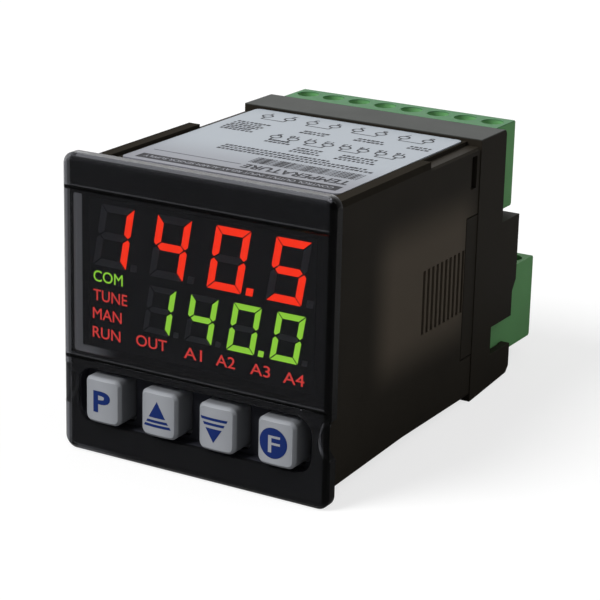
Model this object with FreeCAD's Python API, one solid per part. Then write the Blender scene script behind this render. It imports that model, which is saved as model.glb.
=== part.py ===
import FreeCAD, Part
import math
import os

from FreeCAD import Vector

# Temperature controller for panel mounting, front 48 x 48 mm.
# Millimetres, Z up. The origin is the centre of the panel cut-out, on the
# plane of the panel's front face, where the back of the bezel lies. The front
# looks towards -Y and the terminals towards +Y.

# Clearances
SLIP = 0.1             # one moulding inside another, per side
SEAT = 0.05            # faces that meet
RUN = 0.05             # a plunger or screw in its bore, per side

# Case tube, whose width sets the widths of what it holds
CASE_WIDTH = 44.6
CASE_WALL = 1.4
CASE_CORNER = 0.7
CASE_REAR = 48.0
DECK_Z = 21.85         # outer top face, under the label
CEILING_WALL = 1.6
RAIL_RISE = 0.55       # side rails over the deck
RAIL_WIDTH = 2.1
RAIL_END = 30.6
SHOULDER_DROP = 0.65   # side walls under the deck behind the rails
SHOULDER_WIDTH = 2.5
SHOULDER_BEVEL = 0.35
SKID_DROP = 0.95       # bottom rails, deepest at the bezel
SKID_END = 24.8
GUIDE_THICK = 1.0      # ribs that carry the upper board
GUIDE_REACH = 1.7

# Vents and pockets in the side walls
VENT_COUNT = 10
VENT_PITCH = 1.5
VENT_WIDTH = 0.8
VENT_SETBACK = 18.1    # first vent, from the rear edge of the tube
VENT_BOTTOM = -5.6
VENT_TOP = 5.0
POCKET_SETBACK = 2.0   # catch for the panel clamp
POCKET_WIDTH = 1.9
POCKET_HEIGHT = 5.4
POCKET_DROP = 1.1
POCKET_DEPTH = 0.8

# Label on the deck
LABEL_SIDE_GAP = 0.8   # from the rails
LABEL_FRONT = 6.9
LABEL_END_GAP = 0.7
LABEL_THICK = 0.2
LABEL_CORNER = 1.0

# Bezel: smoke-tinted clear moulding
BEZEL_OVERLAP = 1.7    # past the sides of the case
BEZEL_HEAD = 2.15      # above the deck
BEZEL_SKIRT = 2.55     # below the floor
BEZEL_DEPTH = 2.25
BEZEL_CORNER = 2.0
BEZEL_BEVEL = 0.7      # round the front face
BEZEL_WALL = 0.75      # rim round the black frame
WINDOW_THICK = 0.9     # clear wall in front of the frame
GROOVE_WIDTH = 0.45
GROOVE_DEPTH = 0.3
UPPER_GROOVE_GAP = 0.95
LOWER_GROOVE_GAP = 0.6
SCOOP_LIFT = 1.35      # finger scoops on the two side edges, over the keys' middle
SCOOP_CHORD = 6.4
SCOOP_DEPTH = 1.4
SCOOP_LIP = 0.55       # clear lip left in front of a scoop
SCOOP_RELIEF = 0.1     # from the wall behind a scoop to the front panel

# Black front frame
FRAME_COLLAR = 1.0     # part between the bezel and the case tube
FRAME_WALL = 1.0
FACE_Y = -0.05         # plane of the display face
SINK_SIDE = 0.55       # edge of the frame beside the display
SINK_DROP = 4.15       # from the deck to the top of the display recess
SINK_SILL = 1.1
SINK_CORNER = 0.6
SLEEVE_WALL = 0.6      # frame round the display block
WELL_SIDE = 1.1        # recess that the keys stand in
WELL_GAP = 1.3
WELL_CORNER = 3.0
WELL_FLOOR_Y = 0.6
WELL_FLOOR_THICK = 1.0
WELL_SKIRT = 2.55

# Keys
KEY_WIDTH = 6.6
KEY_HEIGHT = 7.5
KEY_BORDER = 0.8       # above and below the keys in the well
KEY_END_GAP = 2.225    # beside the outer keys
KEY_PROUD = 1.4        # height of the key face over the bezel
KEY_CROWN = 0.35
KEY_CORNER = 1.2
KEY_EDGE = 0.45
KEY_WALL = 1.0
KEY_GAP = 0.35
KEY_FLANGE = 0.8       # rim behind the well floor
KEY_FLANGE_THICK = 0.8
KEY_TRAVEL = 0.8
STEM_SIDE = 2.6
STEM_LENGTH = 0.45
PLUNGER_SIDE = 3.0
PLUNGER_LENGTH = 1.8
PLUNGER_SHOWN = 1.05   # part that stands out of the switch
SWITCH_SIDE = 6.2
SWITCH_DEPTH = 3.5

# Display block, digits and front board
BOARD_THICK = 1.6
BOARD_INSET = 0.25     # from the edge of the frame's sleeve
DIGIT_COUNT = 4
DIGIT_SLANT = math.tan(math.radians(9.6))
DISPLAY_MARGIN = 0.6   # recess above the block
DIGIT_MARGIN = 0.75    # block above the digits
LAMP_STRIP = 4.15      # block below the digits
SEGMENT_THICK = 0.1    # light windows on the face of the block
SEGMENT_GAP = 0.14
SEGMENT_TIP = 0.35     # slant of a segment's end, as a share of its stroke
UPPER_DIGIT_WIDTH = 6.0
UPPER_DIGIT_HEIGHT = 9.9
UPPER_DIGIT_STROKE = 1.15
UPPER_DIGIT_END = 1.575
UPPER_DIGIT_SHIFT = -0.03
DIGIT_ROW_GAP = 1.5
LOWER_DIGIT_WIDTH = 4.8
LOWER_DIGIT_HEIGHT = 7.6
LOWER_DIGIT_STROKE = 0.9
LOWER_DIGIT_SPACE = 2.75
LOWER_DIGIT_END = 2.175
SEGMENTS_OF_ZERO = "abcdef"
SEGMENTS_OF_ONE = "bc"
SEGMENTS_OF_FOUR = "bcfg"
SEGMENTS_OF_FIVE = "acdfg"
UPPER_ROW = (SEGMENTS_OF_ONE, SEGMENTS_OF_FOUR, SEGMENTS_OF_ZERO, SEGMENTS_OF_FIVE)
LOWER_ROW = (SEGMENTS_OF_ONE, SEGMENTS_OF_FOUR, SEGMENTS_OF_ZERO, SEGMENTS_OF_ZERO)
POINT_AFTER = 2        # digit that the lit decimal point follows
PIN_ROW_COUNT = 12
PIN_PITCH = 2.54
PIN_ROW_INSET = 2.0
PIN_SIDE = 0.5
PIN_TAIL = 0.4

# Pluggable terminal blocks
POLES = 8
TERMINAL_MARGIN = 0.48 # header beside the outer poles
PLUG_END_WALL = 0.05
PLUG_HEIGHT = 14.7
PLUG_TOWER = 7.3       # depth of the full height at the rear
PLUG_DEPTH = 11.3      # depth behind the header
PLUG_SHOULDER = 1.8    # drop in front of the tower
TONGUE_LENGTH = 6.6    # part inside the header
PLUG_TONGUE_LIFT = 1.5
PLUG_TONGUE_DROP = 3.4 # from the shoulder to the top of the tongue
PLUG_EDGE = 0.3
UPPER_PLUG_RISE = 0.35 # over the deck
UPPER_PLUG_OVERHANG = 7.5
LOWER_PLUG_LIFT = 2.75 # over the floor
SCREW_SETBACK = 3.5
SCREW_HOLE_RADIUS = 1.9
SCREW_RADIUS = 1.75
SCREW_SINK = 1.2       # head below the top of the plug
SCREW_HEAD = 1.8
SCREW_SHANK_RADIUS = 1.1
SCREW_SLOT = 0.5
SCREW_SLOT_DEPTH = 0.7
SCREW_SIDES = 10       # the sixteen screws are drawn with few sides
ENTRY_WIDTH = 3.7      # wire entries
ENTRY_HEIGHT = 4.6
ENTRY_LIFT = 2.6
ENTRY_DEPTH = 8.4
CAGE_WALL = 0.5
CAGE_DEPTH = 4.6
HEADER_WALL = 0.9
HEADER_DEPTH = 9.1
HEADER_BACK = 2.0
CONTACT_SIDE = 1.0
CONTACT_HOLE = 1.5

# Rear cover
COVER_PROUD = 0.15     # past the sides of the tube
COVER_RISE = 0.6       # above the deck
COVER_DROP = 1.0       # below the floor
COVER_WALL = 1.4
HOOD_DEPTH = 9.5       # from the tube to the rear edge round the upper plug
JUT_DEPTH = 6.65       # from there to the rear face between the plugs
JUT_STEP = 1.25        # from there back to the rear edge round the lower plug
SHELF_GAP = 1.0        # below the upper plug
STEP_DROP = 1.0        # below the top of the lower plug
STEP_HEIGHT = 1.9
COVER_CORNER_RISE = 2.15
COVER_TAPER = 1.1      # rise of the bottom face towards the rear
COVER_CHAMFER = 1.0
NOTCH_LENGTH = 7.7     # side windows that show the lower header
NOTCH_DROP = 4.4
NOTCH_HEIGHT = 4.9
TONGUE_REACH = 3.8     # side tongues that overlap the tube
TONGUE_THICK = 0.8
TONGUE_TOP = 10.0
TONGUE_BOTTOM = -14.0
TONGUE_GAP = 0.2

# Inner boards and what stands on them
BOARD_SIDE_GAP = 1.4   # from an inner board to the wall of the case
INNER_BOARD_GAP = 1.2  # behind the front board
LINK_WIDTH = 25.4
LINK_HEIGHT = 2.5
PART_GAP = 0.7         # behind the pin strip
PART_INSET = 1.5       # from the edge of the board
RELAY_WIDTH = 10.0
RELAY_LENGTH = 20.0
RELAY_HEIGHT = 15.5
RELAY_SETBACK = 3.0    # in front of the contact pins
RELAY_GAP = 1.0
TRANSFORMER_LENGTH = 17.0
TRANSFORMER_WIDTH = 15.0
TRANSFORMER_HEIGHT = 14.0
CORE_LIMB = 4.0
CAPACITOR_RADIUS = 4.5
CAPACITOR_LENGTH = 13.0
SMALL_CAPACITOR_RADIUS = 3.15
SMALL_CAPACITOR_HEIGHT = 7.0
SMALL_CAPACITOR_X = (-14.0, -5.0)
SMALL_CAPACITOR_SETBACK = 4.5
CHIP_SIDE = 10.0
CHIP_HEIGHT = 1.4
CHIP_SETBACK = 12.5    # behind the front edge of the row of parts

# Widths, from the case to what fits in it
CASE_HALF = CASE_WIDTH / 2
CAVITY_HALF = CASE_HALF - CASE_WALL
SPIGOT_HALF = CAVITY_HALF - SLIP
MODULE_HALF = SPIGOT_HALF - SLEEVE_WALL - SLIP
HEADER_HALF = CAVITY_HALF - SLIP
PLUG_TONGUE_HALF = HEADER_HALF - HEADER_WALL - SEAT
POLE_PITCH = 2 * (HEADER_HALF - TERMINAL_MARGIN) / POLES
PLUG_HALF = POLES * POLE_PITCH / 2 + PLUG_END_WALL
POLE_XS = [(index - (POLES - 1) / 2) * POLE_PITCH for index in range(POLES)]
COVER_HALF = CASE_HALF + COVER_PROUD
COVER_CAVITY_HALF = COVER_HALF - COVER_WALL
LABEL_HALF = CASE_HALF - RAIL_WIDTH - LABEL_SIDE_GAP
INNER_BOARD_HALF = CAVITY_HALF - BOARD_SIDE_GAP
BEZEL_HALF = CASE_HALF + BEZEL_OVERLAP
FRAME_HALF = BEZEL_HALF - BEZEL_WALL - SLIP
SINK_HALF = FRAME_HALF - SINK_SIDE
WELL_HALF = CASE_HALF - WELL_SIDE
KEY_NAMES = ["p", "up", "down", "f"]
KEY_PITCH = (2 * (WELL_HALF - KEY_END_GAP) - KEY_WIDTH) / (len(KEY_NAMES) - 1)
KEY_XS = [(index - (len(KEY_NAMES) - 1) / 2) * KEY_PITCH for index in range(len(KEY_NAMES))]
UPPER_DIGIT_PITCH = (2 * (MODULE_HALF - UPPER_DIGIT_END) - UPPER_DIGIT_WIDTH) / (DIGIT_COUNT - 1)
LOWER_DIGIT_PITCH = LOWER_DIGIT_WIDTH + LOWER_DIGIT_SPACE
LOWER_ROW_HALF = ((DIGIT_COUNT - 1) * LOWER_DIGIT_PITCH + LOWER_DIGIT_WIDTH) / 2
LOWER_DIGIT_X = MODULE_HALF - LOWER_DIGIT_END - LOWER_ROW_HALF

# Heights, down the front from the deck
SINK_TOP = DECK_Z - SINK_DROP
UPPER_GROOVE_Z = SINK_TOP + UPPER_GROOVE_GAP
MODULE_TOP = SINK_TOP - DISPLAY_MARGIN
UPPER_DIGIT_Z = MODULE_TOP - DIGIT_MARGIN - UPPER_DIGIT_HEIGHT
LOWER_DIGIT_Z = UPPER_DIGIT_Z - DIGIT_ROW_GAP - LOWER_DIGIT_HEIGHT
MODULE_BOTTOM = LOWER_DIGIT_Z - LAMP_STRIP
SINK_BOTTOM = MODULE_BOTTOM - SINK_SILL
LOWER_GROOVE_Z = SINK_BOTTOM - LOWER_GROOVE_GAP
WELL_TOP = LOWER_GROOVE_Z - WELL_GAP
KEY_Z = WELL_TOP - KEY_BORDER - KEY_HEIGHT / 2
WELL_BOTTOM = KEY_Z - KEY_HEIGHT / 2 - KEY_BORDER
SCOOP_Z = KEY_Z + SCOOP_LIFT
FLOOR_Z = WELL_BOTTOM - WELL_SKIRT
BEZEL_TOP = DECK_Z + BEZEL_HEAD
BEZEL_BOTTOM = FLOOR_Z - BEZEL_SKIRT

# Heights of the case and the terminals
RAIL_TOP = DECK_Z + RAIL_RISE
SHOULDER_Z = DECK_Z - SHOULDER_DROP
POCKET_TOP = SHOULDER_Z - POCKET_DROP
CAVITY_TOP = DECK_Z - CEILING_WALL
CAVITY_BOTTOM = FLOOR_Z + CASE_WALL
SPIGOT_TOP = CAVITY_TOP - SLIP
SPIGOT_BOTTOM = CAVITY_BOTTOM + SLIP
UPPER_PLUG_TOP = DECK_Z + UPPER_PLUG_RISE
LOWER_PLUG_TOP = FLOOR_Z + LOWER_PLUG_LIFT + PLUG_HEIGHT
PLUG_TONGUE_HEIGHT = PLUG_HEIGHT - PLUG_SHOULDER - PLUG_TONGUE_DROP - PLUG_TONGUE_LIFT
COVER_TOP = DECK_Z + COVER_RISE
COVER_BOTTOM = FLOOR_Z - COVER_DROP
COVER_LOW_Z = COVER_BOTTOM + COVER_CORNER_RISE
SHELF_Z = UPPER_PLUG_TOP - PLUG_HEIGHT - SHELF_GAP
STEP_TOP_Z = LOWER_PLUG_TOP - STEP_DROP
STEP_BOTTOM_Z = STEP_TOP_Z - STEP_HEIGHT
NOTCH_TOP = STEP_BOTTOM_Z - NOTCH_DROP
NOTCH_BOTTOM = NOTCH_TOP - NOTCH_HEIGHT

# Depths, from the bezel to the rear
FRONT_Y = -BEZEL_DEPTH
FRAME_FRONT = FRONT_Y + WINDOW_THICK
KEY_BACK = WELL_FLOOR_Y + WELL_FLOOR_THICK + SEAT + KEY_FLANGE_THICK
PLUNGER_FRONT = KEY_BACK + STEM_LENGTH + SEAT
SWITCH_FRONT = PLUNGER_FRONT + PLUNGER_SHOWN
BOARD_Y = SWITCH_FRONT + SWITCH_DEPTH
BOARD_BACK = BOARD_Y + BOARD_THICK
INNER_BOARD_FRONT = BOARD_BACK + INNER_BOARD_GAP
PARTS_FRONT = INNER_BOARD_FRONT + LINK_HEIGHT + PART_GAP
LABEL_REAR = CASE_REAR - LABEL_END_GAP
VENT_FIRST_Y = CASE_REAR - VENT_SETBACK
POCKET_Y = CASE_REAR - POCKET_SETBACK
HOOD_REAR = CASE_REAR + HOOD_DEPTH
JUT_REAR = HOOD_REAR + JUT_DEPTH
LOW_REAR = JUT_REAR - JUT_STEP
NOTCH_FRONT = LOW_REAR - NOTCH_LENGTH
UPPER_PLUG_REAR = HOOD_REAR + UPPER_PLUG_OVERHANG
LOWER_PLUG_REAR = JUT_REAR + SEAT + PLUG_DEPTH
ALONG_X = Vector(1, 0, 0)
ALONG_Y = Vector(0, 1, 0)
ALONG_Z = Vector(0, 0, 1)
OVER = 1.0             # length by which a cutting tool stands out
NEAR = 0.001           # distance within which an edge lies on a plane
PARALLEL = 0.999       # cosine above which an edge runs along a direction


def save(name, shape):
    shape.exportStep("parts/" + name + ".step")


def box(x_span, y_span, z_span):
    size = [span[1] - span[0] for span in (x_span, y_span, z_span)]
    return Part.makeBox(*size, Vector(x_span[0], y_span[0], z_span[0]))


def wide_box(half, y_span, z_span):
    return box((-half, half), y_span, z_span)


def post(radius, x, z, y_span):
    return Part.makeCylinder(radius, y_span[1] - y_span[0], Vector(x, y_span[0], z), ALONG_Y)


def pillar(radius, x, y, z_span):
    return Part.makeCylinder(radius, z_span[1] - z_span[0], Vector(x, y, z_span[0]), ALONG_Z)


def faceted_pillar(radius, sides, x, y, z_span):
    corners = [Vector(x + radius * math.cos(2 * math.pi * index / sides),
                      y + radius * math.sin(2 * math.pi * index / sides), z_span[0])
               for index in range(sides)]
    face = Part.Face(Part.makePolygon(corners + corners[:1]))
    return face.extrude(Vector(0, 0, z_span[1] - z_span[0]))


def square_post(side, x, z, y_span):
    return box((x - side / 2, x + side / 2), y_span, (z - side / 2, z + side / 2))


def edges_along(shape, direction):
    """Straight edges that run along a direction."""
    found = []
    for edge in shape.Edges:
        if edge.Curve.TypeId != "Part::GeomLine":
            continue
        if abs(edge.tangentAt(edge.FirstParameter).dot(direction)) > PARALLEL:
            found.append(edge)
    return found


def edges_on_plane_y(shape, y):
    """Edges that lie wholly on the plane at this depth."""
    return [edge for edge in shape.Edges
            if abs(edge.BoundBox.YMin - y) < NEAR and abs(edge.BoundBox.YMax - y) < NEAR]


def panel(x_span, z_span, radius, y_span):
    """Plate that faces the front, with its four corners rounded."""
    blank = box(x_span, y_span, z_span)
    return blank.makeFillet(radius, edges_along(blank, ALONG_Y))


def profile_along_x(points, x_span):
    """Outline of (y, z) points, extruded across the case."""
    corners = [Vector(x_span[0], y, z) for y, z in points]
    face = Part.Face(Part.makePolygon(corners + corners[:1]))
    return face.extrude(Vector(x_span[1] - x_span[0], 0, 0))


def profile_along_y(points, y_span):
    """Outline of (x, z) points, extruded from front to rear."""
    corners = [Vector(x, y_span[0], z) for x, z in points]
    face = Part.Face(Part.makePolygon(corners + corners[:1]))
    return face.extrude(Vector(0, y_span[1] - y_span[0], 0))


def both_sides(shape):
    """A shape and its mirror image on the other side of the case."""
    return [shape, shape.mirror(Vector(0, 0, 0), ALONG_X)]


def scoop_radius(depth):
    half = SCOOP_CHORD / 2
    return (half * half + depth * depth) / (2 * depth)


def scoops(growth, y_span):
    """Cylinders of the two finger scoops, grown by a wall."""
    radius = scoop_radius(SCOOP_DEPTH)
    middle = BEZEL_HALF - SCOOP_DEPTH + radius
    return both_sides(post(radius + growth, middle, SCOOP_Z, y_span))


def make_bezel():
    half = BEZEL_HALF
    body = panel((-half, half), (BEZEL_BOTTOM, BEZEL_TOP), BEZEL_CORNER, (FRONT_Y, 0))
    body = body.makeChamfer(BEZEL_BEVEL, edges_on_plane_y(body, FRONT_Y))
    wall = BEZEL_WALL
    pocket = panel((wall - half, half - wall), (BEZEL_BOTTOM + wall, BEZEL_TOP - wall),
                   BEZEL_CORNER - wall, (FRAME_FRONT, OVER))
    pocket = pocket.cut(scoops(wall, (FRAME_FRONT - OVER, 2 * OVER)))
    body = body.cut(pocket)
    well = panel((-WELL_HALF, WELL_HALF), (WELL_BOTTOM, WELL_TOP), WELL_CORNER, (FRONT_Y - OVER, OVER))
    grooves = [wide_box(half + OVER, (FRONT_Y - OVER, FRONT_Y + GROOVE_DEPTH),
                        (z - GROOVE_WIDTH / 2, z + GROOVE_WIDTH / 2))
               for z in (UPPER_GROOVE_Z, LOWER_GROOVE_Z)]
    relief = wide_box(CASE_HALF + SLIP, (-SCOOP_RELIEF, OVER), (BEZEL_BOTTOM + wall, BEZEL_TOP - wall))
    body = body.cut([well, relief] + grooves)
    return body.cut(scoops(0, (FRONT_Y + SCOOP_LIP, OVER)))


def make_frame():
    inset = BEZEL_WALL + SLIP
    flange = panel((-FRAME_HALF, FRAME_HALF), (BEZEL_BOTTOM + inset, BEZEL_TOP - inset),
                   BEZEL_CORNER - BEZEL_WALL, (FRAME_FRONT + SEAT, 0))
    flange = flange.cut(scoops(inset, (FRAME_FRONT - OVER, OVER)))
    collar = wide_box(CASE_HALF, (0, FRAME_COLLAR), (FLOOR_Z, DECK_Z))
    collar = collar.makeFillet(CASE_CORNER, edges_along(collar, ALONG_Y))
    spigot = wide_box(SPIGOT_HALF, (FRAME_COLLAR, BOARD_Y), (SPIGOT_BOTTOM, SPIGOT_TOP))
    body = flange.fuse([collar, spigot])
    sink = panel((-SINK_HALF, SINK_HALF), (SINK_BOTTOM, SINK_TOP), SINK_CORNER,
                 (FRAME_FRONT - OVER, FACE_Y))
    module_space = wide_box(MODULE_HALF + SLIP, (FACE_Y - OVER, BOARD_Y + OVER),
                            (MODULE_BOTTOM - SLIP, MODULE_TOP + SLIP))
    well = panel((-WELL_HALF, WELL_HALF), (WELL_BOTTOM, WELL_TOP), WELL_CORNER,
                 (FRAME_FRONT - OVER, WELL_FLOOR_Y))
    well_back = WELL_FLOOR_Y + WELL_FLOOR_THICK
    switch_space = wide_box(SPIGOT_HALF - FRAME_WALL, (well_back, BOARD_Y + OVER),
                            (SPIGOT_BOTTOM + FRAME_WALL, MODULE_BOTTOM - SLIP - FRAME_WALL))
    openings = []
    for x in KEY_XS:
        half_width = KEY_WIDTH / 2 + KEY_GAP
        half_height = KEY_HEIGHT / 2 + KEY_GAP
        openings.append(panel((x - half_width, x + half_width),
                              (KEY_Z - half_height, KEY_Z + half_height), KEY_CORNER,
                              (WELL_FLOOR_Y - OVER, well_back + OVER)))
    return body.cut([sink, module_space, well, switch_space] + openings)


def make_key(x):
    """Hollow crowned cap with a rim behind the frame and a stem."""
    face_y = FRONT_Y - KEY_PROUD
    x_span = (x - KEY_WIDTH / 2, x + KEY_WIDTH / 2)
    z_span = (KEY_Z - KEY_HEIGHT / 2, KEY_Z + KEY_HEIGHT / 2)
    cap = panel(x_span, z_span, KEY_CORNER, (face_y, KEY_BACK))
    crown_radius = (KEY_WIDTH ** 2 / 4 + KEY_CROWN ** 2) / (2 * KEY_CROWN)
    crown = Part.makeCylinder(crown_radius, KEY_HEIGHT + 2 * OVER,
                              Vector(x, face_y + crown_radius, z_span[0] - OVER), ALONG_Z)
    rest = box((x_span[0] - OVER, x_span[1] + OVER), (face_y + KEY_CROWN, KEY_BACK + OVER),
               (z_span[0] - OVER, z_span[1] + OVER))
    cap = cap.common(crown.fuse(rest)).removeSplitter()
    front_edges = [edge for edge in cap.Edges if edge.BoundBox.YMax < face_y + 2 * KEY_CROWN]
    cap = cap.makeChamfer(KEY_EDGE, front_edges)
    rim = box((x_span[0] - KEY_FLANGE, x_span[1] + KEY_FLANGE),
              (KEY_BACK - KEY_FLANGE_THICK, KEY_BACK),
              (z_span[0] - KEY_FLANGE, z_span[1] + KEY_FLANGE))
    hollow = box((x_span[0] + KEY_WALL, x_span[1] - KEY_WALL),
                 (face_y + KEY_CROWN + KEY_WALL, KEY_BACK + OVER),
                 (z_span[0] + KEY_WALL, z_span[1] - KEY_WALL))
    stem = square_post(STEM_SIDE, x, KEY_Z, (face_y + KEY_CROWN, KEY_BACK + STEM_LENGTH))
    return cap.fuse(rim).cut(hollow).fuse(stem).removeSplitter()


def make_plunger(x):
    return square_post(PLUNGER_SIDE, x, KEY_Z, (PLUNGER_FRONT, PLUNGER_FRONT + PLUNGER_LENGTH))


def make_switches():
    """Four push switches, each bored for its plunger and the travel."""
    bore_end = PLUNGER_FRONT + PLUNGER_LENGTH + KEY_TRAVEL + SLIP
    bodies = []
    for x in KEY_XS:
        body = square_post(SWITCH_SIDE, x, KEY_Z, (SWITCH_FRONT, BOARD_Y))
        bore = square_post(PLUNGER_SIDE + 2 * RUN, x, KEY_Z, (SWITCH_FRONT - OVER, bore_end))
        bodies.append(body.cut(bore))
    return Part.makeCompound(bodies)


def segment_outlines(width, height, stroke):
    """Corner points of the seven segments of an upright digit."""
    gap = SEGMENT_GAP
    half = stroke / 2
    middle = height / 2
    tip = SEGMENT_TIP * stroke
    top = [(gap, height), (width - gap, height), (width - stroke - gap, height - stroke),
           (stroke + gap, height - stroke)]
    upper_left = [(0, height - gap), (stroke, height - stroke - gap), (stroke, middle + half + gap),
                  (tip, middle + gap), (0, middle + gap + tip)]
    bar = [(half + gap, middle), (stroke + gap, middle + half), (width - stroke - gap, middle + half),
           (width - half - gap, middle), (width - stroke - gap, middle - half),
           (stroke + gap, middle - half)]

    def across(points):
        return [(width - x, z) for x, z in points]

    def below(points):
        return [(x, height - z) for x, z in points]

    return {"a": top, "b": across(upper_left), "c": across(below(upper_left)), "d": below(top),
            "e": below(upper_left), "f": upper_left, "g": bar}


def make_digits(row, width, height, pitch, stroke, row_x, row_z):
    """Lit and dark segments of a row of digits with their decimal points."""
    lit = []
    dark = []
    outlines = segment_outlines(width, height, stroke)
    point_left = width + 2 * SEGMENT_GAP + stroke / 2
    outlines["point"] = [(point_left, 0), (point_left + stroke, 0), (point_left + stroke, stroke),
                         (point_left, stroke)]
    for index, lit_names in enumerate(row):
        left = row_x + (index - (DIGIT_COUNT - 1) / 2) * pitch - width / 2
        for name, outline in outlines.items():
            leaned = [(left + x + (z - height / 2) * DIGIT_SLANT, row_z + z) for x, z in outline]
            solid = profile_along_y(leaned, (FACE_Y - SEGMENT_THICK, FACE_Y))
            if name in lit_names or (name == "point" and index == POINT_AFTER):
                lit.append(solid)
            else:
                dark.append(solid)
    return Part.makeCompound(lit), Part.makeCompound(dark)


def make_module():
    return wide_box(MODULE_HALF, (FACE_Y, BOARD_Y), (MODULE_BOTTOM, MODULE_TOP))


def make_display_pins():
    pins = []
    for z in (MODULE_BOTTOM + PIN_ROW_INSET, MODULE_TOP - PIN_ROW_INSET):
        for index in range(PIN_ROW_COUNT):
            x = (index - (PIN_ROW_COUNT - 1) / 2) * PIN_PITCH
            pins.append(square_post(PIN_SIDE, x, z, (BOARD_Y, BOARD_BACK + PIN_TAIL)))
    return pins


def make_front_board(pins):
    board = wide_box(SPIGOT_HALF - BOARD_INSET, (BOARD_Y, BOARD_BACK),
                     (SPIGOT_BOTTOM + BOARD_INSET, SPIGOT_TOP - BOARD_INSET))
    return board.cut(pins)


def make_tube():
    """Case tube with its label deck, rails, vents, pockets and board guides."""
    half = CASE_HALF
    rail = half - RAIL_WIDTH
    front_outline = [(-half, FLOOR_Z), (half, FLOOR_Z), (half, RAIL_TOP), (rail, RAIL_TOP),
                     (rail, DECK_Z), (-rail, DECK_Z), (-rail, RAIL_TOP), (-half, RAIL_TOP)]
    front = profile_along_y(front_outline, (FRAME_COLLAR, RAIL_END))
    ledge = half - SHOULDER_WIDTH
    bevel = SHOULDER_BEVEL
    half_outline = [(half, SHOULDER_Z - bevel), (half - bevel, SHOULDER_Z), (ledge, SHOULDER_Z),
                    (ledge, DECK_Z)]
    mirrored = [(-x, z) for x, z in reversed(half_outline)]
    rear_outline = [(-half, FLOOR_Z), (half, FLOOR_Z)] + half_outline + mirrored
    rear = profile_along_y(rear_outline, (RAIL_END, CASE_REAR))
    skid_outline = [(FRAME_COLLAR, FLOOR_Z), (SKID_END, FLOOR_Z), (FRAME_COLLAR, FLOOR_Z - SKID_DROP)]
    skids = both_sides(profile_along_x(skid_outline, (rail, half)))
    body = front.fuse([rear] + skids).removeSplitter()
    lower_edges = [edge for edge in edges_along(body, ALONG_Y)
                   if abs(edge.CenterOfMass.z - FLOOR_Z) < NEAR and edge.CenterOfMass.y > SKID_END]
    body = body.makeFillet(CASE_CORNER, lower_edges)
    cavity = wide_box(CAVITY_HALF, (FRAME_COLLAR - OVER, CASE_REAR + OVER),
                      (CAVITY_BOTTOM, CAVITY_TOP))
    cuts = [cavity]
    for index in range(VENT_COUNT):
        y = VENT_FIRST_Y + index * VENT_PITCH
        cuts.append(wide_box(half + OVER, (y - VENT_WIDTH / 2, y + VENT_WIDTH / 2),
                             (VENT_BOTTOM, VENT_TOP)))
    cuts += both_sides(box((half - POCKET_DEPTH, half + OVER),
                           (POCKET_Y - POCKET_WIDTH / 2, POCKET_Y + POCKET_WIDTH / 2),
                           (POCKET_TOP - POCKET_HEIGHT, POCKET_TOP)))
    cuts += both_sides(box((half - TONGUE_THICK - SEAT, half + OVER),
                           (CASE_REAR - TONGUE_REACH - TONGUE_GAP, CASE_REAR + OVER),
                           (TONGUE_BOTTOM - TONGUE_GAP, TONGUE_TOP + TONGUE_GAP)))
    body = body.cut(cuts)
    guide_top = upper_board_bottom() - SEAT
    guides = both_sides(box((CAVITY_HALF - GUIDE_REACH, CAVITY_HALF),
                            (INNER_BOARD_FRONT, CASE_REAR - TONGUE_REACH),
                            (guide_top - GUIDE_THICK, guide_top)))
    return body.fuse(guides)


def make_label():
    blank = wide_box(LABEL_HALF, (LABEL_FRONT, LABEL_REAR), (DECK_Z, DECK_Z + LABEL_THICK))
    return blank.makeFillet(LABEL_CORNER, edges_along(blank, ALONG_Z))


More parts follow.
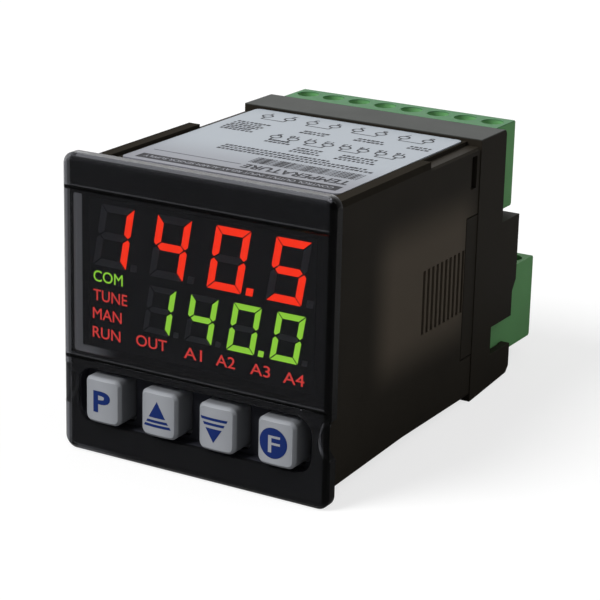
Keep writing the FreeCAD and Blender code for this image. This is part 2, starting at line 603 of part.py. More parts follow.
def make_cover():
    """Rear cover: a hood round the upper plug and a deeper box below it."""
    front = CASE_REAR + SEAT
    outline = [(front, COVER_TOP), (HOOD_REAR, COVER_TOP), (HOOD_REAR, SHELF_Z),
               (JUT_REAR, SHELF_Z), (JUT_REAR, STEP_TOP_Z),
               (LOW_REAR, STEP_BOTTOM_Z), (LOW_REAR, COVER_LOW_Z),
               (LOW_REAR - COVER_CHAMFER, COVER_BOTTOM + COVER_TAPER), (front, COVER_BOTTOM)]
    body = profile_along_x(outline, (-COVER_HALF, COVER_HALF))
    top_rear = [edge for edge in edges_along(body, ALONG_X)
                if edge.CenterOfMass.z > COVER_TOP - NEAR and edge.CenterOfMass.y > front + NEAR]
    body = body.makeFillet(COVER_CHAMFER, top_rear)
    half = COVER_CAVITY_HALF
    ceiling = COVER_TOP - COVER_WALL
    header_rear = UPPER_PLUG_REAR - PLUG_DEPTH
    plate_rear = header_rear - SEAT
    plate_front = plate_rear - COVER_WALL
    shelf_bottom = SHELF_Z - COVER_WALL
    low_back = LOW_REAR - COVER_WALL
    mid_back = JUT_REAR - COVER_WALL
    upper_room = wide_box(half, (front - OVER, plate_front), (CAVITY_BOTTOM, ceiling))
    lower_room = wide_box(half, (front - OVER, low_back), (CAVITY_BOTTOM, shelf_bottom))
    step_room = wide_box(half, (low_back, mid_back), (STEP_BOTTOM_Z, shelf_bottom))
    plug_room = wide_box(half, (plate_rear, HOOD_REAR + OVER), (SHELF_Z, ceiling))
    cuts = [upper_room, lower_room, step_room, plug_room]
    for top, y_span in ((UPPER_PLUG_TOP, (plate_front - OVER, plate_rear + OVER)),
                        (LOWER_PLUG_TOP, (low_back - OVER, JUT_REAR + OVER))):
        bottom, roof = header_z_span(top)
        cuts.append(wide_box(HEADER_HALF + SEAT, y_span, (bottom - SEAT, roof + SEAT)))
    cuts += both_sides(box((half - OVER, COVER_HALF + OVER), (NOTCH_FRONT, JUT_REAR + OVER),
                           (NOTCH_BOTTOM, NOTCH_TOP)))
    body = body.cut(cuts)
    root = front + COVER_WALL
    tongues = both_sides(box((CASE_HALF - TONGUE_THICK, CASE_HALF), (CASE_REAR - TONGUE_REACH, root),
                             (TONGUE_BOTTOM, TONGUE_TOP)))
    return body.fuse(tongues).removeSplitter()


def tongue_z_span(plug_top):
    bottom = plug_top - PLUG_HEIGHT + PLUG_TONGUE_LIFT
    return bottom, bottom + PLUG_TONGUE_HEIGHT


def header_z_span(plug_top):
    bottom, roof = tongue_z_span(plug_top)
    return bottom - SEAT - HEADER_WALL, roof + SEAT + HEADER_WALL


def upper_board_bottom():
    return header_z_span(UPPER_PLUG_TOP)[0] - BOARD_THICK


def header_back(plug_rear):
    return plug_rear - PLUG_DEPTH - 2 * SEAT - HEADER_DEPTH


def make_plug(rear, top):
    """Plug body with screw shafts, wire entries and contact holes."""
    bottom = top - PLUG_HEIGHT
    tower_front = rear - PLUG_TOWER
    block_front = rear - PLUG_DEPTH
    low_top = top - PLUG_SHOULDER
    outline = [(rear, bottom), (rear, top), (tower_front, top), (tower_front, low_top),
               (block_front, low_top), (block_front, bottom)]
    body = profile_along_x(outline, (-PLUG_HALF, PLUG_HALF))
    rear_edges = [edge for edge in edges_along(body, ALONG_X) if edge.CenterOfMass.y > rear - NEAR]
    body = body.makeChamfer(PLUG_EDGE, rear_edges)
    tongue_bottom, tongue_top = tongue_z_span(top)
    tongue = wide_box(PLUG_TONGUE_HALF, (block_front - TONGUE_LENGTH, block_front),
                      (tongue_bottom, tongue_top))
    body = body.fuse(tongue)
    contact_z = (tongue_bottom + tongue_top) / 2
    screw_y = rear - SCREW_SETBACK
    entry_top = bottom + ENTRY_LIFT + ENTRY_HEIGHT
    cuts = []
    for x in POLE_XS:
        cuts.append(pillar(SCREW_HOLE_RADIUS, x, screw_y, (entry_top - OVER, top + OVER)))
        cuts.append(box((x - ENTRY_WIDTH / 2, x + ENTRY_WIDTH / 2), (rear - ENTRY_DEPTH, rear + OVER),
                        (bottom + ENTRY_LIFT, entry_top)))
        half = CONTACT_HOLE / 2
        cuts.append(box((x - half, x + half), (block_front - TONGUE_LENGTH - OVER, block_front),
                        (contact_z - half, contact_z + half)))
    return body.cut(cuts)


def make_plug_screws(rear, top):
    """Slotted clamp screws, one for each pole."""
    y = rear - SCREW_SETBACK
    head_top = top - SCREW_SINK
    cage_top = top - PLUG_HEIGHT + ENTRY_LIFT + ENTRY_HEIGHT - RUN
    screws = []
    for x in POLE_XS:
        head = faceted_pillar(SCREW_RADIUS, SCREW_SIDES, x, y, (head_top - SCREW_HEAD, head_top))
        slot = box((x - SCREW_SLOT / 2, x + SCREW_SLOT / 2), (y - SCREW_RADIUS, y + SCREW_RADIUS),
                   (head_top - SCREW_SLOT_DEPTH, head_top + OVER))
        shank = faceted_pillar(SCREW_SHANK_RADIUS, SCREW_SIDES // 2, x, y,
                               (cage_top - CAGE_WALL, head_top - SCREW_HEAD))
        screws.append(head.cut(slot).fuse(shank).removeSplitter())
    return Part.makeCompound(screws)


def make_cages(rear, top):
    """Clamp cages in the wire entries, each pierced for its screw."""
    floor = top - PLUG_HEIGHT + ENTRY_LIFT + RUN
    roof = top - PLUG_HEIGHT + ENTRY_LIFT + ENTRY_HEIGHT - RUN
    middle = rear - SCREW_SETBACK
    y_span = (middle - CAGE_DEPTH / 2, middle + CAGE_DEPTH / 2)
    half = ENTRY_WIDTH / 2 - RUN
    hole_half = SCREW_SHANK_RADIUS + RUN
    cages = []
    for x in POLE_XS:
        shell = box((x - half, x + half), y_span, (floor, roof))
        room = box((x - half + CAGE_WALL, x + half - CAGE_WALL), (y_span[0] - OVER, y_span[1] + OVER),
                   (floor + CAGE_WALL, roof - CAGE_WALL))
        hole = box((x - hole_half, x + hole_half), (middle - hole_half, middle + hole_half),
                   (roof - CAGE_WALL - RUN, roof + OVER))
        cages.append(shell.cut([room, hole]))
    return Part.makeCompound(cages)


def make_header(rear, top):
    """Shrouded socket that the plug's tongue slides into."""
    bottom, roof = header_z_span(top)
    back = header_back(rear)
    mouth = back + HEADER_DEPTH
    body = wide_box(HEADER_HALF, (back, mouth), (bottom, roof))
    room = wide_box(PLUG_TONGUE_HALF + SEAT, (back + HEADER_BACK, mouth + OVER),
                    (bottom + HEADER_WALL, roof - HEADER_WALL))
    return body.cut([room] + contact_bars(rear, top))


def contact_bars(rear, top):
    """Square contact pins, from behind the header to near its mouth."""
    tongue_bottom, tongue_top = tongue_z_span(top)
    z = (tongue_bottom + tongue_top) / 2
    back = header_back(rear)
    return [square_post(CONTACT_SIDE, x, z, (back, back + HEADER_DEPTH - HEADER_BACK / 2))
            for x in POLE_XS]


def contact_pins(rear, top, board_top):
    """Contact pins with the legs that turn down into the board."""
    tongue_bottom, tongue_top = tongue_z_span(top)
    z = (tongue_bottom + tongue_top) / 2
    back = header_back(rear)
    half = CONTACT_SIDE / 2
    pins = []
    for bar, x in zip(contact_bars(rear, top), POLE_XS):
        leg = box((x - half, x + half), (back - CONTACT_SIDE, back), (board_top, z + half))
        pins.append(bar.fuse(leg).removeSplitter())
    return Part.makeCompound(pins)


def make_inner_board(board_top, rear, top):
    """Board that reaches from the front board to the rear of its header."""
    board_rear = header_back(rear) + HEADER_DEPTH / 2
    return wide_box(INNER_BOARD_HALF, (INNER_BOARD_FRONT, board_rear),
                    (board_top - BOARD_THICK, board_top))


def make_link(board_top):
    """Pin strip between the front board and an inner board."""
    return wide_box(LINK_WIDTH / 2, (BOARD_BACK, INNER_BOARD_FRONT + LINK_HEIGHT),
                    (board_top, board_top + LINK_HEIGHT))


def make_relay(index, board_top):
    left = -INNER_BOARD_HALF + index * (RELAY_WIDTH + RELAY_GAP)
    rear = header_back(LOWER_PLUG_REAR) - CONTACT_SIDE - RELAY_SETBACK
    return box((left, left + RELAY_WIDTH), (rear - RELAY_LENGTH, rear),
               (board_top, board_top + RELAY_HEIGHT))


def make_transformer(board_top):
    """Ferrite core frame and the coil round its middle limb."""
    right = INNER_BOARD_HALF - PART_INSET
    x_span = (right - TRANSFORMER_WIDTH, right)
    y_span = (PARTS_FRONT, PARTS_FRONT + TRANSFORMER_LENGTH)
    z_span = (board_top, board_top + TRANSFORMER_HEIGHT)
    core = box(x_span, y_span, z_span)
    limb = CORE_LIMB / 2
    middle_y = (y_span[0] + y_span[1]) / 2
    windows = [box((x_span[0] - OVER, x_span[1] + OVER), span, (z_span[0] + limb, z_span[1] - limb))
               for span in ((y_span[0] + limb, middle_y - limb), (middle_y + limb, y_span[1] - limb))]
    core = core.cut(windows)
    coil = box((x_span[0] - SEAT, x_span[1] + SEAT), (y_span[0] + limb + SEAT, y_span[1] - limb - SEAT),
               (z_span[0] + limb + SEAT, z_span[1] - limb - SEAT))
    slot = box((x_span[0] - OVER, x_span[1] + OVER), (middle_y - limb - SEAT, middle_y + limb + SEAT),
               z_span)
    return core, coil.cut(slot)


def make_capacitor(board_top):
    """Mains capacitor lying across the lower board."""
    end = Vector(PART_INSET - INNER_BOARD_HALF, PARTS_FRONT + CAPACITOR_RADIUS,
                 board_top + CAPACITOR_RADIUS)
    return Part.makeCylinder(CAPACITOR_RADIUS, CAPACITOR_LENGTH, end, ALONG_X)


def make_small_capacitors(board_top):
    cans = []
    for x in SMALL_CAPACITOR_X:
        cans.append(pillar(SMALL_CAPACITOR_RADIUS, x, PARTS_FRONT + SMALL_CAPACITOR_SETBACK,
                           (board_top, board_top + SMALL_CAPACITOR_HEIGHT)))
    return Part.makeCompound(cans)


def make_chip(board_top):
    front = PARTS_FRONT + CHIP_SETBACK
    return wide_box(CHIP_SIDE / 2, (front, front + CHIP_SIDE), (board_top, board_top + CHIP_HEIGHT))


def build():
    os.makedirs("parts", exist_ok=True)
    save("front_bezel", make_bezel())
    save("front_frame", make_frame())
    for name, x in zip(KEY_NAMES, KEY_XS):
        save("key_" + name, make_key(x))
        save("plunger_" + name, make_plunger(x))
    save("key_switches", make_switches())

    upper_lit, upper_dark = make_digits(UPPER_ROW, UPPER_DIGIT_WIDTH, UPPER_DIGIT_HEIGHT,
                                        UPPER_DIGIT_PITCH, UPPER_DIGIT_STROKE,
                                        UPPER_DIGIT_SHIFT, UPPER_DIGIT_Z)
    lower_lit, lower_dark = make_digits(LOWER_ROW, LOWER_DIGIT_WIDTH, LOWER_DIGIT_HEIGHT,
                                        LOWER_DIGIT_PITCH, LOWER_DIGIT_STROKE,
                                        LOWER_DIGIT_X, LOWER_DIGIT_Z)
    save("upper_digits_lit", upper_lit)
    save("upper_digits_dark", upper_dark)
    save("lower_digits_lit", lower_lit)
    save("lower_digits_dark", lower_dark)
    save("display_module", make_module())
    pins = make_display_pins()
    save("display_pins", Part.makeCompound(pins))
    save("front_board", make_front_board(pins))

    save("case_tube", make_tube())
    save("rating_label", make_label())
    save("rear_cover", make_cover())

    for name, rear, top in (("upper", UPPER_PLUG_REAR, UPPER_PLUG_TOP),
                            ("lower", LOWER_PLUG_REAR, LOWER_PLUG_TOP)):
        board_top = header_z_span(top)[0]
        save(name + "_plug", make_plug(rear, top))
        save(name + "_plug_screws", make_plug_screws(rear, top))
        save(name + "_plug_cages", make_cages(rear, top))
        save(name + "_header", make_header(rear, top))
        save(name + "_header_pins", contact_pins(rear, top, board_top))
        save(name + "_board", make_inner_board(board_top, rear, top))
        save(name + "_board_link", make_link(board_top))

    lower_top = header_z_span(LOWER_PLUG_TOP)[0]
    upper_top = header_z_span(UPPER_PLUG_TOP)[0]
    for index in range(2):
        save("relay_" + str(index + 1), make_relay(index, lower_top))
    core, coil = make_transformer(lower_top)
    save("transformer_core", core)
    save("transformer_coil", coil)
    save("mains_capacitor", make_capacitor(lower_top))
    save("filter_capacitors", make_small_capacitors(upper_top))
    save("processor_chip", make_chip(upper_top))


build()
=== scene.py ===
import math

import bmesh
import bpy
from mathutils import Matrix, Vector


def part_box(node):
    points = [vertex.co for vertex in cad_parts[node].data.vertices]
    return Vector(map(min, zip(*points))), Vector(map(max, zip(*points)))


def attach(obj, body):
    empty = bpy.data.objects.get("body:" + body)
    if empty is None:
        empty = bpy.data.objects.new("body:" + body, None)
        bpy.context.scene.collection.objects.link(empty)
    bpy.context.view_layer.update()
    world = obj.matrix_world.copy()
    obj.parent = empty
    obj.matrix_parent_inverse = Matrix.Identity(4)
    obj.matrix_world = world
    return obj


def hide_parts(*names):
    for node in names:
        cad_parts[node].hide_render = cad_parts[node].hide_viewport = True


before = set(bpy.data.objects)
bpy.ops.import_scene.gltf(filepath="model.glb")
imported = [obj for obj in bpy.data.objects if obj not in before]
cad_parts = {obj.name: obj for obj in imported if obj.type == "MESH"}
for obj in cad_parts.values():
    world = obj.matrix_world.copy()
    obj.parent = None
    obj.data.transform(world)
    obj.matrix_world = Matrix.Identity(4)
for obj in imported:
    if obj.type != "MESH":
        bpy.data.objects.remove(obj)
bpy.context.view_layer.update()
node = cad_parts
MM = 0.001

# Camera
# A long lens in front of the right-hand side of the display and a little above
# it, where the photograph was taken.
FOCAL_LENGTH = 131.339
SENSOR_WIDTH = 36.0
lens = bpy.data.cameras.new("camera")
lens.lens = FOCAL_LENGTH
lens.sensor_width = SENSOR_WIDTH
lens.clip_start = 0.01
lens.clip_end = 20.0
camera = bpy.data.objects.new("camera", lens)
camera.matrix_world = Matrix(((0.86061, -0.17529, 0.47814, 0.169777),
                              (0.50874, 0.25350, -0.82275, -0.262422),
                              (0.02301, 0.95132, 0.30733, 0.105305),
                              (0.0, 0.0, 0.0, 1.0)))
bpy.context.scene.collection.objects.link(camera)
bpy.context.scene.camera = camera
bpy.context.scene.view_settings.view_transform = "Standard"

# Light
# A broad key light high on the left in front, a weak fill from behind on the
# right, and a dim room with a white backdrop. Gloss sees a bright panel on the
# left and a dark screen on the right.
PANEL_SIDE = -0.55
SCREEN_SIDE = 0.45
PANEL_LIGHT = 1.45
SCREEN_LIGHT = 0.30
ROOM_LIGHT = 0.24
KEY_SUN = ((-0.40, -0.55, 0.75), 0.5, 2.9)
FILL_SUN = ((0.60, 0.45, 0.70), 0.8, 0.45)
room = bpy.data.worlds.new("room")
bpy.context.scene.world = room
room.use_nodes = True
room_links = room.node_tree.links
room_nodes = room.node_tree.nodes
room_nodes.clear()
seen_ray = room_nodes.new("ShaderNodeLightPath")
eye_or_glass = room_nodes.new("ShaderNodeMath")
eye_or_glass.operation = "MAXIMUM"
soft_light = room_nodes.new("ShaderNodeBackground")
soft_light.inputs["Color"].default_value = (1.0, 1.0, 1.0, 1.0)
soft_light.inputs["Strength"].default_value = ROOM_LIGHT
backdrop = room_nodes.new("ShaderNodeBackground")
backdrop.inputs["Color"].default_value = (1.0, 1.0, 1.0, 1.0)
backdrop.inputs["Strength"].default_value = 1.0
room_way = room_nodes.new("ShaderNodeTexCoord")
room_axes = room_nodes.new("ShaderNodeSeparateXYZ")
panel_light = room_nodes.new("ShaderNodeMapRange")
panel_light.interpolation_type = "SMOOTHSTEP"
panel_light.inputs["From Min"].default_value = PANEL_SIDE
panel_light.inputs["From Max"].default_value = SCREEN_SIDE
panel_light.inputs["To Min"].default_value = PANEL_LIGHT
panel_light.inputs["To Max"].default_value = SCREEN_LIGHT
gloss_light = room_nodes.new("ShaderNodeBackground")
for_gloss = room_nodes.new("ShaderNodeMixShader")
choice = room_nodes.new("ShaderNodeMixShader")
room_out = room_nodes.new("ShaderNodeOutputWorld")
room_links.new(room_way.outputs["Generated"], room_axes.inputs[0])
room_links.new(room_axes.outputs["X"], panel_light.inputs["Value"])
room_links.new(panel_light.outputs["Result"], gloss_light.inputs["Strength"])
room_links.new(seen_ray.outputs["Is Glossy Ray"], for_gloss.inputs["Fac"])
room_links.new(soft_light.outputs[0], for_gloss.inputs[1])
room_links.new(gloss_light.outputs[0], for_gloss.inputs[2])
room_links.new(seen_ray.outputs["Is Camera Ray"], eye_or_glass.inputs[0])
room_links.new(seen_ray.outputs["Is Transmission Ray"], eye_or_glass.inputs[1])
room_links.new(eye_or_glass.outputs[0], choice.inputs["Fac"])
room_links.new(for_gloss.outputs[0], choice.inputs[1])
room_links.new(backdrop.outputs[0], choice.inputs[2])
room_links.new(choice.outputs[0], room_out.inputs["Surface"])

for lamp_name, (place, spread, power) in (("key_light", KEY_SUN), ("fill_light", FILL_SUN)):
    lamp_data = bpy.data.lights.new(lamp_name, "SUN")
    lamp_data.angle = spread
    lamp_data.energy = power
    lamp = bpy.data.objects.new(lamp_name, lamp_data)
    lamp.location = place
    lamp.rotation_euler = Vector(place).to_track_quat("Z", "Y").to_euler()
    bpy.context.scene.collection.objects.link(lamp)

# Floor
# A plain white sheet. It touches the lower edge of the bezel and the lower
# front edge of the rear cover, the two places that the controller stands on.
# To the eye it is as white as the backdrop but for the shadow.
FLOOR_REACH = 3.0
SHEET_GREY = (0.32, 0.32, 0.32, 1.0)
SHEET_WHITE = 0.71
COVER_EDGE_Y = 48.05 * MM
bezel_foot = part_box("front_bezel")[0][2]
cover_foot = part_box("rear_cover")[0][2]
floor_slope = (cover_foot - bezel_foot) / COVER_EDGE_Y
floor_mesh = bpy.data.meshes.new("floor")
floor_corners = [(x, y, bezel_foot + floor_slope * y)
                 for x, y in ((-FLOOR_REACH, -FLOOR_REACH), (FLOOR_REACH, -FLOOR_REACH),
                              (FLOOR_REACH, FLOOR_REACH), (-FLOOR_REACH, FLOOR_REACH))]
floor_mesh.from_pydata(floor_corners, [], [(0, 1, 2, 3)])
floor = bpy.data.objects.new("floor", floor_mesh)
bpy.context.scene.collection.objects.link(floor)
floor_paint = bpy.data.materials.new("white_sheet")
floor_paint.use_nodes = True
floor_nodes, floor_links = floor_paint.node_tree.nodes, floor_paint.node_tree.links
floor_shader = floor_nodes["Principled BSDF"]
floor_shader.inputs["Base Color"].default_value = SHEET_GREY
floor_shader.inputs["Roughness"].default_value = 0.9
floor_shader.inputs["Specular IOR Level"].default_value = 0.1
floor_shader.inputs["Emission Color"].default_value = (1.0, 1.0, 1.0, 1.0)
floor_ray = floor_nodes.new("ShaderNodeLightPath")
floor_any = floor_nodes.new("ShaderNodeMath")
floor_any.operation = "MAXIMUM"
floor_white = floor_nodes.new("ShaderNodeMath")
floor_white.operation = "MULTIPLY"
floor_white.inputs[1].default_value = SHEET_WHITE
floor_links.new(floor_ray.outputs["Is Camera Ray"], floor_any.inputs[0])
floor_links.new(floor_ray.outputs["Is Transmission Ray"], floor_any.inputs[1])
floor_links.new(floor_any.outputs[0], floor_white.inputs[0])
floor_links.new(floor_white.outputs[0], floor_shader.inputs["Emission Strength"])
floor_mesh.materials.append(floor_paint)

# Case tube
# One moulding in brown-black plastic with a satin skin, slid over the front
# frame. Its side walls carry a warm lighter patch of painted light, and
# the tops of its side rails are matt.
CASE_DARK = (0.0190, 0.0160, 0.0120, 1.0)
CASE_PALE = (0.0290, 0.0246, 0.0185, 1.0)
CASE_PAINTED_LIGHT = (0.098, 0.080, 0.060, 1.0)
PAINTED_LIGHT_Y = (16.0, 45.5)
PAINTED_LIGHT_Z = (-8.5, 12.5)
PAINTED_LIGHT_BLUR = 4.5
CASE_GLOSS = 0.3
CASE_ROUGH = 0.5
RAIL_ROUGH = 1.0
RAIL_Z = 21.3
EDGE_ANGLE = math.radians(35)
BEYOND = 40.0


def moulded_plastic(name, dark, pale, roughness, gloss, grain=0.12, relief=0.0, index=1.17):
    """Moulded plastic: cloudy colour, uneven gloss and a fine grain."""
    material = bpy.data.materials.new(name)
    material.use_nodes = True
    nodes, links = material.node_tree.nodes, material.node_tree.links
    shader = nodes["Principled BSDF"]
    place = nodes.new("ShaderNodeTexCoord")
    place.name = "place"
    cloud = nodes.new("ShaderNodeTexNoise")
    cloud.inputs["Scale"].default_value = 120.0
    cloud.inputs["Detail"].default_value = 4.0
    tint = nodes.new("ShaderNodeMix")
    tint.name = "tint"
    tint.data_type = "RGBA"
    tint.inputs["A"].default_value = dark
    tint.inputs["B"].default_value = pale
    links.new(place.outputs["Object"], cloud.inputs["Vector"])
    links.new(cloud.outputs["Fac"], tint.inputs["Factor"])
    links.new(tint.outputs["Result"], shader.inputs["Base Color"])
    gloss_range = nodes.new("ShaderNodeMapRange")
    gloss_range.inputs["To Min"].default_value = roughness * 0.85
    gloss_range.inputs["To Max"].default_value = min(1.0, roughness * 1.15)
    links.new(cloud.outputs["Fac"], gloss_range.inputs["Value"])
    links.new(gloss_range.outputs["Result"], shader.inputs["Roughness"])
    shader.inputs["IOR"].default_value = index
    shader.inputs["Specular IOR Level"].default_value = gloss
    if relief:
        grains = nodes.new("ShaderNodeTexNoise")
        grains.inputs["Scale"].default_value = 1.0 / (grain * MM)
        grains.inputs["Detail"].default_value = 2.0
        bump = nodes.new("ShaderNodeBump")
        bump.inputs["Strength"].default_value = relief
        bump.inputs["Distance"].default_value = grain * MM * 0.3
        links.new(place.outputs["Object"], grains.inputs["Vector"])
        links.new(grains.outputs["Fac"], bump.inputs["Height"])
        links.new(bump.outputs["Normal"], shader.inputs["Normal"])
    return material


def both_of(nodes, links, first, second, operation="MULTIPLY"):
    """Two masks or numbers of a node tree joined by one sum."""
    step = nodes.new("ShaderNodeMath")
    step.operation = operation
    for socket, value in zip(step.inputs, (first, second)):
        if isinstance(value, (int, float)):
            socket.default_value = value
        else:
            links.new(value, socket)
    return step.outputs[0]


def soft_window(nodes, links, value, low, high, blur):
    """A mask that is 1 between two places along an axis and fades outside."""
    sides = []
    for start, end in ((low - blur, low + blur), (high + blur, high - blur)):
        fade = nodes.new("ShaderNodeMapRange")
        fade.interpolation_type = "SMOOTHSTEP"
        fade.inputs["From Min"].default_value = start * MM
        fade.inputs["From Max"].default_value = end * MM
        links.new(value, fade.inputs["Value"])
        sides.append(fade.outputs["Result"])
    return both_of(nodes, links, *sides)


def split_axes(material):
    """The node tree of a moulded plastic and its Object coordinates by axis."""
    nodes, links = material.node_tree.nodes, material.node_tree.links
    axes = nodes.new("ShaderNodeSeparateXYZ")
    links.new(nodes["place"].outputs["Object"], axes.inputs[0])
    return nodes, links, axes.outputs


def tint_where(nodes, links, mask, colour):
    """Gives a moulded plastic another colour where a mask is 1."""
    blend = nodes.new("ShaderNodeMix")
    blend.data_type = "RGBA"
    blend.inputs["B"].default_value = colour
    links.new(mask, blend.inputs["Factor"])
    links.new(nodes["tint"].outputs["Result"], blend.inputs["A"])
    links.new(blend.outputs["Result"], nodes["Principled BSDF"].inputs["Base Color"])


def crease_tree():
    """Smooth shading that stays sharp across edges of more than an angle."""
    tree = bpy.data.node_groups.new("smooth_with_creases", "GeometryNodeTree")
    tree.interface.new_socket("Geometry", in_out="INPUT", socket_type="NodeSocketGeometry")
    tree.interface.new_socket("Angle", in_out="INPUT", socket_type="NodeSocketFloat")
    tree.interface.new_socket("Geometry", in_out="OUTPUT", socket_type="NodeSocketGeometry")
    start = tree.nodes.new("NodeGroupInput")
    end = tree.nodes.new("NodeGroupOutput")
    soften = tree.nodes.new("GeometryNodeSetShadeSmooth")
    angle = tree.nodes.new("GeometryNodeInputMeshEdgeAngle")
    steep = tree.nodes.new("FunctionNodeCompare")
    steep.operation = "GREATER_THAN"
    crease = tree.nodes.new("GeometryNodeSetShadeSmooth")
    crease.domain = "EDGE"
    crease.inputs["Shade Smooth"].default_value = False
    tree.links.new(start.outputs["Geometry"], soften.inputs["Geometry"])
    tree.links.new(angle.outputs["Unsigned Angle"], steep.inputs[0])
    tree.links.new(start.outputs["Angle"], steep.inputs[1])
    tree.links.new(soften.outputs["Geometry"], crease.inputs["Geometry"])
    tree.links.new(steep.outputs[0], crease.inputs["Selection"])
    tree.links.new(crease.outputs["Geometry"], end.inputs["Geometry"])
    return tree


def set_input(modifier, name, value):
    """Sets one named input of a Geometry Nodes modifier."""
    for item in modifier.node_group.interface.items_tree:
        if item.name == name and item.in_out == "INPUT":
            modifier[item.identifier] = value


creases = crease_tree()


def finish_node(name, material, edge=0.0):
    """Puts a material on a CAD node and breaks its sharp edges."""
    part = node[name]
    part.data.materials.clear()
    part.data.materials.append(material)
    weld = part.modifiers.new("weld", "WELD")
    weld.merge_threshold = 0.000002
    if edge:
        flats = part.modifiers.new("flats", "DECIMATE")
        flats.decimate_type = "DISSOLVE"
        flats.angle_limit = math.radians(0.5)
        bevel = part.modifiers.new("edge", "BEVEL")
        bevel.width = edge * MM
        bevel.segments = 2
        bevel.limit_method = "ANGLE"
        bevel.angle_limit = EDGE_ANGLE
        bevel.use_clamp_overlap = True
    shading = part.modifiers.new("shading", "NODES")
    shading.node_group = creases
    set_input(shading, "Angle", EDGE_ANGLE)
    if edge:
        part.modifiers.new("normals", "WEIGHTED_NORMAL").keep_sharp = True
    return part


case_skin = moulded_plastic("case_black", CASE_DARK, CASE_PALE, CASE_ROUGH, CASE_GLOSS, 0.25, 0.12)
tube_skin = moulded_plastic("case_black_painted_light", CASE_DARK, CASE_PALE, CASE_ROUGH, CASE_GLOSS, 0.25, 0.12)
tube_nodes, tube_links, tube_axes = split_axes(tube_skin)
# Painted light: a warm lighter patch on the side walls of the tube.
painted_light_mask = both_of(tube_nodes, tube_links,
                     soft_window(tube_nodes, tube_links, tube_axes["Y"], *PAINTED_LIGHT_Y, PAINTED_LIGHT_BLUR),
                     soft_window(tube_nodes, tube_links, tube_axes["Z"], *PAINTED_LIGHT_Z, PAINTED_LIGHT_BLUR))
tint_where(tube_nodes, tube_links, painted_light_mask, CASE_PAINTED_LIGHT)
rail_rough = tube_nodes.new("ShaderNodeMapRange")
rail_rough.inputs["To Min"].default_value = CASE_ROUGH
rail_rough.inputs["To Max"].default_value = RAIL_ROUGH
tube_links.new(soft_window(tube_nodes, tube_links, tube_axes["Z"], RAIL_Z, BEYOND, 0.1),
               rail_rough.inputs["Value"])
tube_links.new(rail_rough.outputs["Result"], tube_nodes["Principled BSDF"].inputs["Roughness"])
finish_node("case_tube", tube_skin, 0.12)

# Front board and inner boards
# Glass-fibre laminate with a green solder mask. The front board closes the
# frame; the two inner boards run back to the terminals on ribs of the case.
board_mask = moulded_plastic("solder_mask", (0.010, 0.075, 0.028, 1.0), (0.018, 0.12, 0.045, 1.0),
                             0.35, 0.4)
for name in ("front_board", "upper_board", "lower_board"):
    finish_node(name, board_mask)

# Parts on the boards
# Relays in black housings, a ferrite transformer with a taped coil, sleeved
# capacitors, a moulded chip and the pin strips that join the boards.
relay_skin = moulded_plastic("relay_case", (0.012, 0.012, 0.014, 1.0), (0.02, 0.02, 0.023, 1.0),
                             0.3, 0.4)
ferrite = moulded_plastic("ferrite", (0.03, 0.03, 0.032, 1.0), (0.06, 0.06, 0.063, 1.0),
                          0.65, 0.3, 0.2, 0.3)
coil_tape = moulded_plastic("coil_tape", (0.55, 0.34, 0.03, 1.0), (0.65, 0.42, 0.05, 1.0), 0.3, 0.5)
can_sleeve = moulded_plastic("can_sleeve", (0.010, 0.012, 0.025, 1.0), (0.016, 0.019, 0.04, 1.0),
                             0.3, 0.5)
chip_epoxy = moulded_plastic("chip_epoxy", (0.008, 0.008, 0.008, 1.0), (0.014, 0.014, 0.014, 1.0),
                             0.55, 0.4)
tinned_pin = moulded_plastic("tinned_pin", (0.55, 0.54, 0.50, 1.0), (0.66, 0.65, 0.61, 1.0), 0.3, 0.5)
tinned_pin.node_tree.nodes["Principled BSDF"].inputs["Metallic"].default_value = 1.0
for name, material in (("relay_1", relay_skin), ("relay_2", relay_skin),
                       ("transformer_core", ferrite), ("transformer_coil", coil_tape),
                       ("mains_capacitor", can_sleeve), ("filter_capacitors", can_sleeve),
                       ("processor_chip", chip_epoxy), ("upper_board_link", chip_epoxy),
                       ("lower_board_link", chip_epoxy), ("display_pins", tinned_pin),
                       ("upper_header_pins", tinned_pin), ("lower_header_pins", tinned_pin)):
    finish_node(name, material)

# Terminal headers
# Sockets in green nylon, soldered to the rear ends of the inner boards.
GREEN_DARK = (0.136, 0.345, 0.132, 1.0)
GREEN_PALE = (0.168, 0.420, 0.166, 1.0)
green_nylon = moulded_plastic("green_nylon", GREEN_DARK, GREEN_PALE, 0.45, 0.35, 0.2, 0.1)
green_shader = green_nylon.node_tree.nodes["Principled BSDF"]
green_shader.inputs["Subsurface Weight"].default_value = 0.15
green_shader.inputs["Subsurface Radius"].default_value = (0.2, 0.6, 0.3)
green_shader.inputs["Subsurface Scale"].default_value = 0.0006
for side in ("upper", "lower"):
    finish_node(side + "_header", green_nylon, 0.05)

# Rear cover
# Moulded in the same plastic as the tube and snapped over its rear end with
# two side tongues. It carries the headers and a hood over the upper block, and
# its top face is painted a paler grey, a painted sheen.
HOOD_PAINTED_SHEEN = (0.070, 0.074, 0.070, 1.0)
HOOD_SHEEN_DEPTH = 0.15
hood_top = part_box("rear_cover")[1][2] / MM
cover_nodes, cover_links, cover_axes = split_axes(case_skin)
hood_painted_sheen = soft_window(cover_nodes, cover_links, cover_axes["Z"], hood_top - HOOD_SHEEN_DEPTH, BEYOND, 0.1)
# Painted sheen: the top face of the hood is given a paler grey.
tint_where(cover_nodes, cover_links, hood_painted_sheen, HOOD_PAINTED_SHEEN)
finish_node("rear_cover", case_skin, 0.28)
